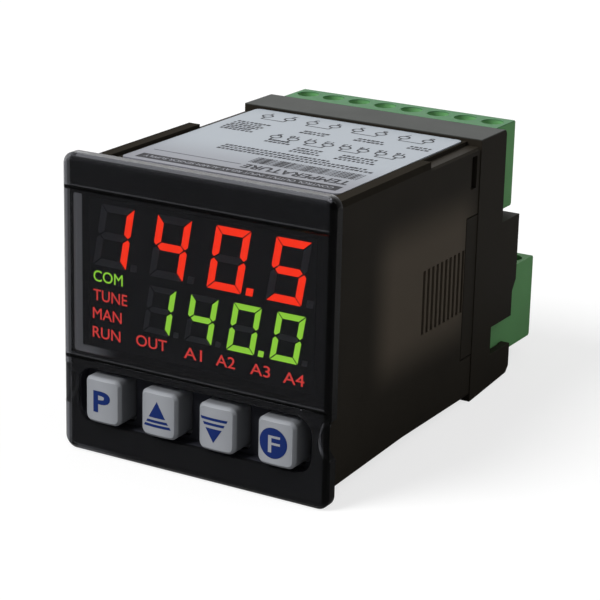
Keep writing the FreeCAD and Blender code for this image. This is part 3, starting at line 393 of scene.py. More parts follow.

# Terminal plugs
# Two eight-way screw blocks in green nylon that pull off the headers, with a
# plated clamp cage in each wire entry. The top of the upper block is painted
# darker, a painted shade under the hood of the rear cover.
GREEN_PAINTED_SHADE = (0.078, 0.208, 0.096, 1.0)
BLOCK_SHADE_DEPTH = 0.15
block_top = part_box("upper_plug")[1][2] / MM
green_nodes, green_links, green_axes = split_axes(green_nylon)
block_painted_shade = soft_window(green_nodes, green_links, green_axes["Z"], block_top - BLOCK_SHADE_DEPTH, BEYOND, 0.1)
# Painted shade: the top of the upper block is given a darker green.
tint_where(green_nodes, green_links, block_painted_shade, GREEN_PAINTED_SHADE)
plated = moulded_plastic("plated_steel", (0.42, 0.43, 0.44, 1.0), (0.55, 0.56, 0.57, 1.0), 0.32, 0.5)
plated.node_tree.nodes["Principled BSDF"].inputs["Metallic"].default_value = 1.0
for side in ("upper", "lower"):
    finish_node(side + "_plug", green_nylon, 0.08)
    finish_node(side + "_plug_cages", plated)

# Clamp screws
# Slotted cheese-head screws in plated steel, turned and rolled, one down each
# round shaft of the plugs, each with a smooth shank into its clamp cage.
SCREW_COUNT = 8
SCREW_PITCH = 5.005
SCREW_HEAD_RADIUS = 1.75
SCREW_HEAD_HEIGHT = 1.8
SCREW_RIM = 0.22
SCREW_SHANK_RADIUS = 1.1
SCREW_SLOT_WIDTH = 0.5
SCREW_SLOT_DEPTH = 0.7
SCREW_SIDES = 48
SCREW_CREASE = math.radians(25)


def new_tree(name, inputs):
    """An empty Geometry Nodes tree with named number inputs."""
    tree = bpy.data.node_groups.new(name, "GeometryNodeTree")
    for label, kind in inputs:
        tree.interface.new_socket(label, in_out="INPUT", socket_type="NodeSocket" + kind)
    tree.interface.new_socket("Geometry", in_out="OUTPUT", socket_type="NodeSocketGeometry")
    return tree, tree.nodes.new("NodeGroupInput"), tree.nodes.new("NodeGroupOutput")


def grow(tree, values):
    """Runs a tree with these inputs and gives its result as a bmesh."""
    seed_mesh = bpy.data.meshes.new("seed")
    seed = bpy.data.objects.new("seed", seed_mesh)
    bpy.context.scene.collection.objects.link(seed)
    modifier = seed.modifiers.new("grow", "NODES")
    modifier.node_group = tree
    for name, value in values.items():
        set_input(modifier, name, value)
    depsgraph = bpy.context.evaluated_depsgraph_get()
    mesh = bpy.data.meshes.new_from_object(seed.evaluated_get(depsgraph))
    seed.modifiers.remove(modifier)
    shape = bmesh.new()
    shape.from_mesh(mesh)
    bpy.data.objects.remove(seed)
    return shape


def new_piece(name, shape, material, body):
    """Turns a bmesh into a piece of the object that rides on a body."""
    mesh = bpy.data.meshes.new(name)
    shape.to_mesh(mesh)
    shape.free()
    mesh.materials.clear()
    mesh.materials.append(material)
    piece = bpy.data.objects.new(name, mesh)
    bpy.context.scene.collection.objects.link(piece)
    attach(piece, body)
    return piece


def end_in_row(tree, start, end, shape, material, scale=None):
    """Ends a tree with copies of a shape along X, made real in a material."""
    nodes, links = tree.nodes, tree.links
    row = nodes.new("GeometryNodeMeshLine")
    step = nodes.new("ShaderNodeCombineXYZ")
    links.new(start.outputs["Count"], row.inputs["Count"])
    links.new(start.outputs["Pitch"], step.inputs["X"])
    links.new(step.outputs[0], row.inputs["Offset"])
    put = nodes.new("GeometryNodeInstanceOnPoints")
    links.new(row.outputs["Mesh"], put.inputs["Points"])
    links.new(shape, put.inputs["Instance"])
    if scale is not None:
        links.new(scale, put.inputs["Scale"])
    real = nodes.new("GeometryNodeRealizeInstances")
    paint = nodes.new("GeometryNodeSetMaterial")
    paint.inputs["Material"].default_value = material
    links.new(put.outputs["Instances"], real.inputs["Geometry"])
    links.new(real.outputs["Geometry"], paint.inputs["Geometry"])
    links.new(paint.outputs["Geometry"], end.inputs["Geometry"])


def screw_tree(material):
    """A row of turned screws along X, their head tops at the origin's height."""
    tree, start, end = new_tree("clamp_screws", (("Count", "Int"), ("Pitch", "Float"),
                                                 ("Head Radius", "Float"), ("Head Height", "Float"),
                                                 ("Rim", "Float"), ("Shank Radius", "Float"),
                                                 ("Shank Length", "Float"), ("Slot Width", "Float"),
                                                 ("Slot Depth", "Float"), ("Sides", "Int")))
    nodes, links = tree.nodes, tree.links

    def sum_of(first, second, operation):
        return both_of(nodes, links, first, second, operation)

    def turned(radius_top, radius_bottom, depth, base_z, fill):
        shape = nodes.new("GeometryNodeMeshCone")
        shape.fill_type = fill
        links.new(start.outputs["Sides"], shape.inputs["Vertices"])
        links.new(radius_top, shape.inputs["Radius Top"])
        links.new(radius_bottom, shape.inputs["Radius Bottom"])
        links.new(depth, shape.inputs["Depth"])
        lift = nodes.new("GeometryNodeTransform")
        offset = nodes.new("ShaderNodeCombineXYZ")
        links.new(base_z, offset.inputs["Z"])
        links.new(shape.outputs["Mesh"], lift.inputs["Geometry"])
        links.new(offset.outputs[0], lift.inputs["Translation"])
        return lift.outputs["Geometry"]

    radius = start.outputs["Head Radius"]
    rim = start.outputs["Rim"]
    height = start.outputs["Head Height"]
    shank = start.outputs["Shank Radius"]
    length = start.outputs["Shank Length"]
    minus_rim = sum_of(rim, -1.0, "MULTIPLY")
    minus_height = sum_of(height, -1.0, "MULTIPLY")
    shoulder = sum_of(height, rim, "SUBTRACT")
    profile = [turned(sum_of(radius, rim, "SUBTRACT"), radius, rim, minus_rim, "NGON"),
               turned(radius, radius, shoulder, minus_height, "NGON"),
               turned(shank, shank, length, sum_of(minus_height, length, "SUBTRACT"), "NGON")]
    solid = nodes.new("GeometryNodeMeshBoolean")
    solid.operation = "UNION"
    for shape in profile:
        links.new(shape, solid.inputs["Mesh 2"])
    cutter = nodes.new("GeometryNodeMeshCube")
    cutter_size = nodes.new("ShaderNodeCombineXYZ")
    links.new(start.outputs["Slot Width"], cutter_size.inputs["X"])
    links.new(sum_of(radius, 3.0, "MULTIPLY"), cutter_size.inputs["Y"])
    links.new(sum_of(start.outputs["Slot Depth"], 2.0, "MULTIPLY"), cutter_size.inputs["Z"])
    links.new(cutter_size.outputs[0], cutter.inputs["Size"])
    slotted = nodes.new("GeometryNodeMeshBoolean")
    slotted.operation = "DIFFERENCE"
    links.new(solid.outputs["Mesh"], slotted.inputs["Mesh 1"])
    links.new(cutter.outputs["Mesh"], slotted.inputs["Mesh 2"])
    end_in_row(tree, start, end, slotted.outputs["Mesh"], material)
    return tree


clamp_screws = screw_tree(plated)
for side in ("upper", "lower"):
    screws_low, screws_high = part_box(side + "_plug_screws")
    screw_length = screws_high[2] - screws_low[2]
    row_of_screws = grow(clamp_screws, {"Count": SCREW_COUNT, "Pitch": SCREW_PITCH * MM,
                                        "Head Radius": SCREW_HEAD_RADIUS * MM,
                                        "Head Height": SCREW_HEAD_HEIGHT * MM,
                                        "Rim": SCREW_RIM * MM,
                                        "Shank Radius": SCREW_SHANK_RADIUS * MM,
                                        "Shank Length": screw_length - SCREW_HEAD_HEIGHT * MM,
                                        "Slot Width": SCREW_SLOT_WIDTH * MM,
                                        "Slot Depth": SCREW_SLOT_DEPTH * MM,
                                        "Sides": SCREW_SIDES})
    first_x = screws_low[0] + SCREW_HEAD_RADIUS * MM
    middle_y = (screws_low[1] + screws_high[1]) / 2
    bmesh.ops.translate(row_of_screws, verts=row_of_screws.verts,
                        vec=(first_x, middle_y, screws_high[2]))
    screws = new_piece(side + "_clamp_screws", row_of_screws, plated, side + "_terminal_plug")
    shading = screws.modifiers.new("shading", "NODES")
    shading.node_group = creases
    set_input(shading, "Angle", SCREW_CREASE)
    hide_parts(side + "_plug_screws")

# Front frame
# Black matt moulding behind the clear bezel: display recess, key well, and
# the sleeve that enters the case tube. Its left recess wall and the corner below
# are painted pale grey with a painted glow, standing in for light that strays in
# the recess.
PAINTED_STRAY_GREY = (0.55, 0.55, 0.55, 1.0)
STRAY_LIGHT = 0.5
RECESS_Y = (-0.70, -0.03)
WALL_X = (-22.7, -21.5)
WALL_Z = (-7.9, 17.6)
CORNER_X = (-26.0, -17.5)
CORNER_Z = (-8.2, -7.0)
frame_skin = moulded_plastic("frame_black", (0.024, 0.025, 0.031, 1.0), (0.032, 0.033, 0.041, 1.0),
                             0.55, 0.15)
frame_nodes, frame_links, frame_axes = split_axes(frame_skin)
wall_x, wall_z, corner_x, corner_z, recess_y = [
    soft_window(frame_nodes, frame_links, frame_axes[axis], *span, blur)
    for axis, span, blur in (("X", WALL_X, 0.05), ("Z", WALL_Z, 0.3), ("X", CORNER_X, 3.0),
                             ("Z", CORNER_Z, 0.2), ("Y", RECESS_Y, 0.02))]
recess_wall = both_of(frame_nodes, frame_links, wall_x, wall_z)
recess_floor = both_of(frame_nodes, frame_links, corner_x, corner_z)
painted_stray_light = both_of(frame_nodes, frame_links, recess_wall, recess_floor, "MAXIMUM")
painted_stray_light = both_of(frame_nodes, frame_links, painted_stray_light, recess_y)
# Painted light: the left recess wall and the corner below get a pale grey and a glow.
tint_where(frame_nodes, frame_links, painted_stray_light, PAINTED_STRAY_GREY)
frame_nodes["Principled BSDF"].inputs["Emission Color"].default_value = PAINTED_STRAY_GREY
frame_links.new(both_of(frame_nodes, frame_links, painted_stray_light, STRAY_LIGHT),
                frame_nodes["Principled BSDF"].inputs["Emission Strength"])
finish_node("front_frame", frame_skin, 0.1)

# Display
# LED block with a smooth black face. Lit segments glow red above and green
# below; the others show as dark grey windows.
RED_GLOW = 6.0
GREEN_GLOW = 5.4
WORD_GLOW = 3.6
display_face = moulded_plastic("display_face", (0.052, 0.055, 0.066, 1.0), (0.060, 0.063, 0.075, 1.0),
                               0.35, 0.15)
finish_node("display_module", display_face)
dark_window = moulded_plastic("unlit_segment", (0.40, 0.40, 0.42, 1.0), (0.48, 0.48, 0.50, 1.0),
                              0.4, 0.2)


def glow(name, colour, strength):
    """Lit plastic: an even light with a faint cloudiness."""
    material = bpy.data.materials.new(name)
    material.use_nodes = True
    nodes, links = material.node_tree.nodes, material.node_tree.links
    shader = nodes["Principled BSDF"]
    place = nodes.new("ShaderNodeTexCoord")
    cloud = nodes.new("ShaderNodeTexNoise")
    cloud.inputs["Scale"].default_value = 500.0
    tint = nodes.new("ShaderNodeMix")
    tint.data_type = "RGBA"
    tint.inputs["A"].default_value = (*[0.94 * c for c in colour], 1.0)
    tint.inputs["B"].default_value = (*colour, 1.0)
    links.new(place.outputs["Object"], cloud.inputs["Vector"])
    links.new(cloud.outputs["Fac"], tint.inputs["Factor"])
    links.new(tint.outputs["Result"], shader.inputs["Emission Color"])
    links.new(tint.outputs["Result"], shader.inputs["Base Color"])
    shader.inputs["Emission Strength"].default_value = strength
    shader.inputs["Roughness"].default_value = 0.5
    shader.inputs["Specular IOR Level"].default_value = 0.1
    return material


red_light = glow("red_light", (1.0, 0.030, 0.006), RED_GLOW)
green_light = glow("green_light", (0.305, 0.68, 0.045), GREEN_GLOW)
finish_node("upper_digits_lit", red_light)
finish_node("lower_digits_lit", green_light)
word_light = glow("red_word_light", (1.0, 0.070, 0.055), WORD_GLOW)
finish_node("upper_digits_dark", dark_window)
finish_node("lower_digits_dark", dark_window)

# Lamp words
# Small words cut in the display mask and lit from behind, one for each lamp.
WORD_LIFT = 0.07
WORD_SHIFT = (0.27, 0.14)
WORD_HEIGHT = 1.8
WORD_BOLD = 0.006
RED_WORDS = (("TUNE", -19.66, -13.32, 0.56), ("MAN", -19.78, -14.37, -2.44),
             ("RUN", -19.83, -14.61, -5.51), ("OUT", -11.68, -6.01, -5.34),
             ("A1", -2.89, 0.36, -5.63), ("A2", 2.85, 6.26, -5.67),
             ("A3", 8.91, 12.40, -5.83), ("A4", 14.65, 18.30, -6.01))
GREEN_WORDS = (("COM", -19.62, -14.16, 3.64),)


def letter_mesh(text, boldness):
    """Flat filled letters on the XY plane, their outlines moved outwards."""
    curve = bpy.data.curves.new("letters", "FONT")
    curve.body = text
    curve.resolution_u = 4
    letters = bpy.data.objects.new("letters", curve)
    bpy.context.scene.collection.objects.link(letters)
    mesh = bpy.data.meshes.new_from_object(letters)
    shape = bmesh.new()
    shape.from_mesh(mesh)
    bpy.data.objects.remove(letters)
    bmesh.ops.remove_doubles(shape, verts=shape.verts, dist=1e-5)
    outward = {}
    for edge in shape.edges:
        if len(edge.link_faces) != 1:
            continue
        first, second = edge.verts
        along = second.co - first.co
        out = Vector((along.y, -along.x, 0)).normalized()
        if out.dot(edge.link_faces[0].calc_center_median() - first.co) > 0:
            out = -out
        for v in edge.verts:
            outward[v] = outward.get(v, Vector((0, 0, 0))) + out
    for v, out in outward.items():
        v.co += out.normalized() * boldness
    return shape


def fit_letters(text, boldness, left, right, bottom, top, face_y):
    """Letters stretched to a box on the front, as vertices and faces."""
    shape = letter_mesh(text, boldness)
    low_x = min(v.co.x for v in shape.verts)
    high_x = max(v.co.x for v in shape.verts)
    low_y = min(v.co.y for v in shape.verts)
    high_y = max(v.co.y for v in shape.verts)
    for v in shape.verts:
        across = (v.co.x - low_x) / (high_x - low_x)
        up = (v.co.y - low_y) / (high_y - low_y)
        v.co = ((left + (right - left) * across) * MM, face_y, (bottom + (top - bottom) * up) * MM)
    return shape


def join_shapes(shapes):
    """Adds several bmeshes together."""
    whole = bmesh.new()
    for shape in shapes:
        mesh = bpy.data.meshes.new("part")
        shape.to_mesh(mesh)
        whole.from_mesh(mesh)
        shape.free()
        bpy.data.meshes.remove(mesh)
    return whole


word_face_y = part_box("display_module")[0][1] - WORD_LIFT * MM
for piece_name, words, light, slot_name in (("red_lamp_words", RED_WORDS, word_light, "red_lit"),
                                            ("green_lamp_words", GREEN_WORDS, green_light, "green_lit")):
    lettering = []
    for text, left, right, base in words:
        lettering.append(fit_letters(text, WORD_BOLD, left + WORD_SHIFT[0], right + WORD_SHIFT[0],
                                     base + WORD_SHIFT[1], base + WORD_SHIFT[1] + WORD_HEIGHT,
                                     word_face_y))
    new_piece(piece_name, join_shapes(lettering), light, "housing")

# Key switches
# Four black push switches on the front board, each with a square plunger.
switch_skin = moulded_plastic("switch_black", (0.010, 0.010, 0.010, 1.0), (0.016, 0.016, 0.016, 1.0),
                              0.5, 0.3)
finish_node("key_switches", switch_skin)
for key in ("p", "up", "down", "f"):
    finish_node("plunger_" + key, switch_skin)

# Keys
# Off-white caps with a crowned face and soft edges, printed in navy blue. They
# are darker towards the back and along the top, where the well shades them.
CROWN_RADIUS = 15.73
CROWN_STRIP = 0.4
CROWN_STRIPS = 6
PRINT_LIFT = 0.02
DISC_LIFT = 0.035
KEY_SHADE_Y = (-4.3, -2.2)
KEY_SHADE = 0.38
KEY_TOP_BAND = (1.0, 0.25)
KEY_TOP_SHADE = 0.4
key_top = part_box("key_p")[1][2]
key_skin = moulded_plastic("key_white", (0.385, 0.400, 0.430, 1.0), (0.430, 0.448, 0.480, 1.0),
                           0.4, 0.3, 0.15, 0.05)
key_shader = key_skin.node_tree.nodes["Principled BSDF"]
key_shader.inputs["Subsurface Weight"].default_value = 0.1
key_shader.inputs["Subsurface Radius"].default_value = (0.6, 0.6, 0.7)
key_shader.inputs["Subsurface Scale"].default_value = 0.0005
key_nodes, key_links, key_axes = split_axes(key_skin)
key_shades = []
for axis, clear, shaded, shade in (
        ("Y", KEY_SHADE_Y[0] * MM, KEY_SHADE_Y[1] * MM, KEY_SHADE),
        ("Z", key_top - KEY_TOP_BAND[0] * MM, key_top - KEY_TOP_BAND[1] * MM, KEY_TOP_SHADE)):
    fade = key_nodes.new("ShaderNodeMapRange")
    fade.interpolation_type = "SMOOTHSTEP"
    fade.inputs["From Min"].default_value = clear
    fade.inputs["From Max"].default_value = shaded
    fade.inputs["To Min"].default_value = 1.0
    fade.inputs["To Max"].default_value = shade
    key_links.new(key_axes[axis], fade.inputs["Value"])
    key_shades.append(fade.outputs["Result"])
key_dim = key_nodes.new("ShaderNodeVectorMath")
key_dim.operation = "SCALE"
key_links.new(key_nodes["tint"].outputs["Result"], key_dim.inputs[0])
key_links.new(both_of(key_nodes, key_links, *key_shades), key_dim.inputs["Scale"])
key_links.new(key_dim.outputs["Vector"], key_shader.inputs["Base Color"])
navy_ink = moulded_plastic("navy_ink", (0.010, 0.025, 0.130, 1.0), (0.013, 0.031, 0.150, 1.0), 0.45, 0.3)
for key in ("p", "up", "down", "f"):
    finish_node("key_" + key, key_skin, 0.18)


def on_crown(shape, key, lift):
    """Cuts a flat print into strips and lays it on the crowned key face."""
    low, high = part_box("key_" + key)
    middle = (low[0] + high[0]) / 2
    for step in range(-CROWN_STRIPS, CROWN_STRIPS + 1):
        geometry = shape.verts[:] + shape.edges[:] + shape.faces[:]
        bmesh.ops.bisect_plane(shape, geom=geometry, plane_co=(middle + step * CROWN_STRIP * MM, 0, 0),
                               plane_no=(1, 0, 0), dist=1e-7)
    for v in shape.verts:
        across = (v.co.x - middle) / MM
        rise = CROWN_RADIUS - math.sqrt(CROWN_RADIUS ** 2 - across ** 2)
        v.co.y = low[1] + (rise - lift) * MM
    return shape


def flat_outline(points):
    """A filled outline of (x, z) points on the front."""
    shape = bmesh.new()
    corners = [shape.verts.new((x * MM, 0, z * MM)) for x, z in points]
    shape.faces.new(corners)
    return shape


def bar(middle, bottom_half, top_half, bottom, top):
    """A bar with slanted ends."""
    return flat_outline([(middle - bottom_half, bottom), (middle + bottom_half, bottom),
                         (middle + top_half, top), (middle - top_half, top)])


up_x = -5.36
up_marks = [flat_outline([(up_x - 1.52, -14.88), (up_x + 1.52, -14.88), (up_x, -12.21)]),
            bar(up_x, 2.02, 1.76, -15.71, -15.28), bar(up_x, 2.48, 2.24, -16.42, -15.98)]
down_x = 4.89
down_marks = [flat_outline([(down_x - 1.48, -14.39), (down_x, -16.66), (down_x + 1.48, -14.39)]),
              bar(down_x, 1.76, 1.96, -13.95, -13.52), bar(down_x, 2.24, 2.44, -13.13, -12.69)]
DISC_X = 15.32
DISC_Z = -14.38
DISC_RADIUS = 2.42
DISC_SIDES = 48
turns = [math.tau * index / DISC_SIDES for index in range(DISC_SIDES)]
disc_points = [(DISC_X + DISC_RADIUS * math.cos(turn), DISC_Z + DISC_RADIUS * math.sin(turn))
               for turn in turns]
for name, shape, key, lift, ink in (
        ("legend_up", join_shapes(up_marks), "up", PRINT_LIFT, navy_ink),
        ("legend_down", join_shapes(down_marks), "down", PRINT_LIFT, navy_ink),
        ("legend_p", fit_letters("P", 0.035, -17.24, -14.07, -16.25, -12.70, 0), "p", PRINT_LIFT, navy_ink),
        ("legend_f_disc", flat_outline(disc_points), "f", PRINT_LIFT, navy_ink),
        ("legend_f", fit_letters("F", 0.005, 14.50, 16.57, -15.90, -13.20, 0), "f", DISC_LIFT, key_skin)):
    new_piece(name, on_crown(shape, key, lift), ink, "button_" + key)

# Bezel
# One polished moulding in smoke-tinted clear plastic over the black frame,
# with two fine grooves and a finger scoop in each side edge. Its tint is denser
# over the display than in the hazy free rim. Painted shade darkens the right
# edge, the foot, the top rim, the left scoop and the grooves, and a hazy strip
# above each groove is a painted highlight.
BEZEL_SIDE = 22.9
BEZEL_SPAN = (-BEZEL_SIDE, BEZEL_SIDE)
FOOT_START = -15.0
SCOOP_SPAN = (-16.3, -9.7)
SCOOP_SIDE = 22.5
GROOVE_LINES = (18.65, -8.5)
GROOVE_HALF = 0.3
GROOVE_HIGHLIGHT_WIDTH = 0.25
GROOVE_HIGHLIGHT_HAZE = 0.12
SMOKE_HAZE = 0.022
FREE_SIDE = -22.4
RIM_HAZE = 0.45
SMOKE_INDEX = 1.3
SMOKE_DENSITY = 640.0
SMOKE_DEEP = (0.02, 0.02, 0.03, 1.0)
smoke = bpy.data.materials.new("smoked_clear")
smoke.use_nodes = True
smoke_nodes, smoke_links = smoke.node_tree.nodes, smoke.node_tree.links
smoke_shader = smoke_nodes["Principled BSDF"]
smoke_shader.inputs["Transmission Weight"].default_value = 1.0
smoke_shader.inputs["IOR"].default_value = SMOKE_INDEX
smoke_shader.inputs["Specular IOR Level"].default_value = 0.3
smoke_shader.inputs["Specular Tint"].default_value = (0.42, 0.42, 0.42, 1.0)
smoke_place = smoke_nodes.new("ShaderNodeTexCoord")
smoke_cloud = smoke_nodes.new("ShaderNodeTexNoise")
smoke_cloud.inputs["Scale"].default_value = 60.0
smoke_tint = smoke_nodes.new("ShaderNodeMix")
smoke_tint.data_type = "RGBA"
smoke_tint.inputs["A"].default_value = (0.86, 0.88, 0.96, 1.0)
smoke_tint.inputs["B"].default_value = (0.90, 0.92, 1.00, 1.0)
smoke_gloss = smoke_nodes.new("ShaderNodeMapRange")
smoke_gloss.inputs["To Min"].default_value = 0.03
smoke_gloss.inputs["To Max"].default_value = 0.07
smoke_links.new(smoke_place.outputs["Object"], smoke_cloud.inputs["Vector"])
smoke_links.new(smoke_cloud.outputs["Fac"], smoke_tint.inputs["Factor"])
smoke_links.new(smoke_cloud.outputs["Fac"], smoke_gloss.inputs["Value"])
smoke_axes = smoke_nodes.new("ShaderNodeSeparateXYZ")
smoke_links.new(smoke_place.outputs["Object"], smoke_axes.inputs[0])


def smoke_window(axis, low, high, blur):
    """A soft window of the bezel's material along one axis."""
    return soft_window(smoke_nodes, smoke_links, smoke_axes.outputs[axis], low, high, blur)


def smoke_sum(first, second, operation="MULTIPLY"):
    """Two masks or numbers of the bezel's material joined by one sum."""
    return both_of(smoke_nodes, smoke_links, first, second, operation)


over_display = smoke_sum(smoke_window("X", *BEZEL_SPAN, 0.2), smoke_window("Z", *BEZEL_SPAN, 0.2))
right_edge_painted_shade = smoke_window("X", BEZEL_SIDE, BEYOND, 0.3)
free_side = smoke_window("X", -BEYOND, FREE_SIDE, 0.12)
top_rim_painted_shade = smoke_window("Z", BEZEL_SIDE, BEYOND, 0.2)
foot_painted_shade = smoke_window("Z", -BEYOND, -BEZEL_SIDE, 0.2)
foot_rim_painted_shade = smoke_sum(foot_painted_shade, smoke_window("X", FOOT_START, BEYOND, 5.0))
scoop_painted_shade = smoke_sum(smoke_window("Z", *SCOOP_SPAN, 0.2), smoke_window("X", -BEYOND, -SCOOP_SIDE, 0.2))
groove_painted_shade = 0.0
groove_painted_highlight = 0.0
for line_z in GROOVE_LINES:
    painted_shade_line = smoke_window("Z", line_z - GROOVE_HALF, line_z + GROOVE_HALF, 0.08)
    painted_highlight_line = smoke_window("Z", line_z + GROOVE_HALF, line_z + GROOVE_HALF + GROOVE_HIGHLIGHT_WIDTH, 0.1)
    groove_painted_shade = smoke_sum(groove_painted_shade, painted_shade_line, "ADD")
    groove_painted_highlight = smoke_sum(groove_painted_highlight, painted_highlight_line, "ADD")
tint_and_painted_shade = 1.0
# Painted shade: a darker tint on the right edge, the foot, the top rim, the left scoop and in the grooves.
for mask, level in ((over_display, 0.33), (right_edge_painted_shade, 0.006), (foot_painted_shade, 0.2), (foot_rim_painted_shade, 0.2),
                    (top_rim_painted_shade, 0.55), (free_side, 0.36), (scoop_painted_shade, 0.2), (groove_painted_shade, 0.05)):
    drop = smoke_sum(mask, 1.0 - level)
    tint_and_painted_shade = smoke_sum(tint_and_painted_shade, smoke_sum(1.0, drop, "SUBTRACT"))
smoke_dim = smoke_nodes.new("ShaderNodeVectorMath")
smoke_dim.operation = "SCALE"
smoke_links.new(smoke_tint.outputs["Result"], smoke_dim.inputs[0])
smoke_links.new(tint_and_painted_shade, smoke_dim.inputs["Scale"])
smoke_links.new(smoke_dim.outputs["Vector"], smoke_shader.inputs["Base Color"])
# Painted highlight: a hazy strip above each groove.
haze = smoke_sum(smoke_sum(groove_painted_highlight, GROOVE_HIGHLIGHT_HAZE), smoke_sum(free_side, RIM_HAZE), "ADD")
haze = smoke_sum(haze, SMOKE_HAZE, "ADD")
smoke_links.new(smoke_sum(1.0, haze, "SUBTRACT"), smoke_shader.inputs["Transmission Weight"])
smoke_links.new(smoke_gloss.outputs["Result"], smoke_shader.inputs["Roughness"])
smoke_depth = smoke_nodes.new("ShaderNodeVolumeAbsorption")
smoke_depth.inputs["Color"].default_value = SMOKE_DEEP
smoke_depth.inputs["Density"].default_value = SMOKE_DENSITY
smoke_links.new(smoke_depth.outputs["Volume"], smoke_nodes["Material Output"].inputs["Volume"])
finish_node("front_bezel", smoke, 0.06)

# Label
# Silver-grey film on the deck, printed in dark grey: a strip with pale marks,
# a plain title, a block of bars, rows of small print, and terminals with their
# wiring. The film is paler away from the front.
LABEL_LIFT = 0.012
FILM_NEAR = (0.21, 0.215, 0.25, 1.0)
FILM_DARK = (0.335, 0.375, 0.42, 1.0)
FILM_PALE = (0.38, 0.42, 0.465, 1.0)
FILM_INDEX = 1.3
FILM_NEAR_Y = 7.0
FILM_FAR_Y = 26.0
INK_DARK = (0.035, 0.035, 0.04, 1.0)
INK_PALE = (0.055, 0.055, 0.06, 1.0)
STRIP_PLACE = (-17.6, 8.2)
STRIP_SIZE = (35.6, 2.5)
STRIP_TEXT = "CONTROL OUTPUT INPUT RELAY ALARM SENSOR SUPPLY"
STRIP_WORDS_PLACE = (-16.6, 8.9)
STRIP_WORDS_SIZE = (33.6, 1.1)
STRIP_WORDS_BOLD = 0.02
TITLE_PLACE = (-0.9, 11.8)
TITLE_SIZE = (18.6, 2.4)
TITLE_BOLD = 0.035
RULE_PLACE = (-17.6, 13.4)
RULE_SIZE = (16.0, 0.2)
BARS_PLACE = (-1.4, 17.0)
BAR_COUNT = 48
BAR_PITCH = 0.40
BAR_WIDTHS = (0.08, 0.36)
BAR_HEIGHT = 3.4
BAR_SEED = 8
label_film = moulded_plastic("label_film", FILM_DARK, FILM_PALE, 0.35, 0.5, index=FILM_INDEX)
film_nodes, film_links, film_axes = split_axes(label_film)
film_way = film_nodes.new("ShaderNodeMapRange")
film_way.interpolation_type = "SMOOTHSTEP"
film_way.inputs["From Min"].default_value = FILM_NEAR_Y * MM
film_way.inputs["From Max"].default_value = FILM_FAR_Y * MM
film_mix = film_nodes.new("ShaderNodeMix")
film_mix.data_type = "RGBA"
film_mix.inputs["A"].default_value = FILM_NEAR
film_links.new(film_axes["Y"], film_way.inputs["Value"])
film_links.new(film_way.outputs["Result"], film_mix.inputs["Factor"])
film_links.new(film_nodes["tint"].outputs["Result"], film_mix.inputs["B"])
film_links.new(film_mix.outputs["Result"], film_nodes["Principled BSDF"].inputs["Base Color"])
finish_node("rating_label", label_film)
label_ink = moulded_plastic("label_ink", INK_DARK, INK_PALE, 0.5, 0.2)
label_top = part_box("rating_label")[1][2]


def mark_tree(material):
    """A row of upright marks along X, each of a different width."""
    tree, start, end = new_tree("printed_marks", (("Count", "Int"), ("Pitch", "Float"),
                                                  ("Narrow", "Float"), ("Wide", "Float"),
                                                  ("Height", "Float"), ("Seed", "Int")))
    nodes, links = tree.nodes, tree.links
    mark = nodes.new("GeometryNodeMeshGrid")
    mark.inputs["Size X"].default_value = 1.0
    mark.inputs["Vertices X"].default_value = 2
    mark.inputs["Vertices Y"].default_value = 2
    links.new(start.outputs["Height"], mark.inputs["Size Y"])
    width = nodes.new("FunctionNodeRandomValue")
    links.new(start.outputs["Narrow"], width.inputs[2])
    links.new(start.outputs["Wide"], width.inputs[3])
    links.new(start.outputs["Seed"], width.inputs["Seed"])
    scale = nodes.new("ShaderNodeCombineXYZ")
    scale.inputs["Y"].default_value = 1.0
    scale.inputs["Z"].default_value = 1.0
    links.new(width.outputs[1], scale.inputs["X"])
    end_in_row(tree, start, end, mark.outputs["Mesh"], material, scale.outputs[0])
    return tree


def ring_tree(material):
    """A row of flat rings along X, one for each terminal."""
    tree, start, end = new_tree("terminal_rings", (("Count", "Int"), ("Pitch", "Float"),
                                                   ("Radius", "Float"), ("Line", "Float")))
    nodes, links = tree.nodes, tree.links
    circle = nodes.new("GeometryNodeCurvePrimitiveCircle")
    circle.inputs["Resolution"].default_value = RING_SIDES
    links.new(start.outputs["Radius"], circle.inputs["Radius"])
    width = nodes.new("ShaderNodeCombineXYZ")
    links.new(start.outputs["Line"], width.inputs["X"])
    stroke = nodes.new("GeometryNodeCurvePrimitiveLine")
    links.new(width.outputs[0], stroke.inputs["End"])
    ring = nodes.new("GeometryNodeCurveToMesh")
    links.new(circle.outputs["Curve"], ring.inputs["Curve"])
    links.new(stroke.outputs["Curve"], ring.inputs["Profile Curve"])
    end_in_row(tree, start, end, ring.outputs["Mesh"], material)
    return tree


def on_label(shape, x, y, lift=LABEL_LIFT):
    """Lays a flat print on the label with its origin at a point."""
    for v in shape.verts:
        v.co = (v.co.x + x * MM, v.co.y + y * MM, label_top + lift * MM)
    for face in shape.faces:
        face.normal_update()
        if face.normal.z < 0:
            face.normal_flip()
    return shape


def plate(width, height):
    """A flat rectangle that starts at the origin."""
    shape = bmesh.new()
    shape.faces.new([shape.verts.new((x * MM, y * MM, 0))
                     for x, y in ((0, 0), (width, 0), (width, height), (0, height))])
    return shape


printed_marks = mark_tree(label_ink)


def marks(count, pitch, widths, height, seed):
    """A grown row of upright marks, in millimetres."""
    narrow, wide = widths
    return grow(printed_marks, {"Count": count, "Pitch": pitch * MM, "Narrow": narrow * MM,
                                "Wide": wide * MM, "Height": height * MM, "Seed": seed})


def upside_down(text, boldness, width, height):
    """Letters in a box from the origin that read from the back of the label."""
    shape = fit_letters(text, boldness, width, 0, 0, height, 0)
    for v in shape.verts:
        v.co = (v.co.x, height * MM - v.co.z, 0)
    return shape


def label_piece(name, shape, material=label_ink):
    """A print on the label as a piece of its own."""
    new_piece(name, shape, material, "housing")


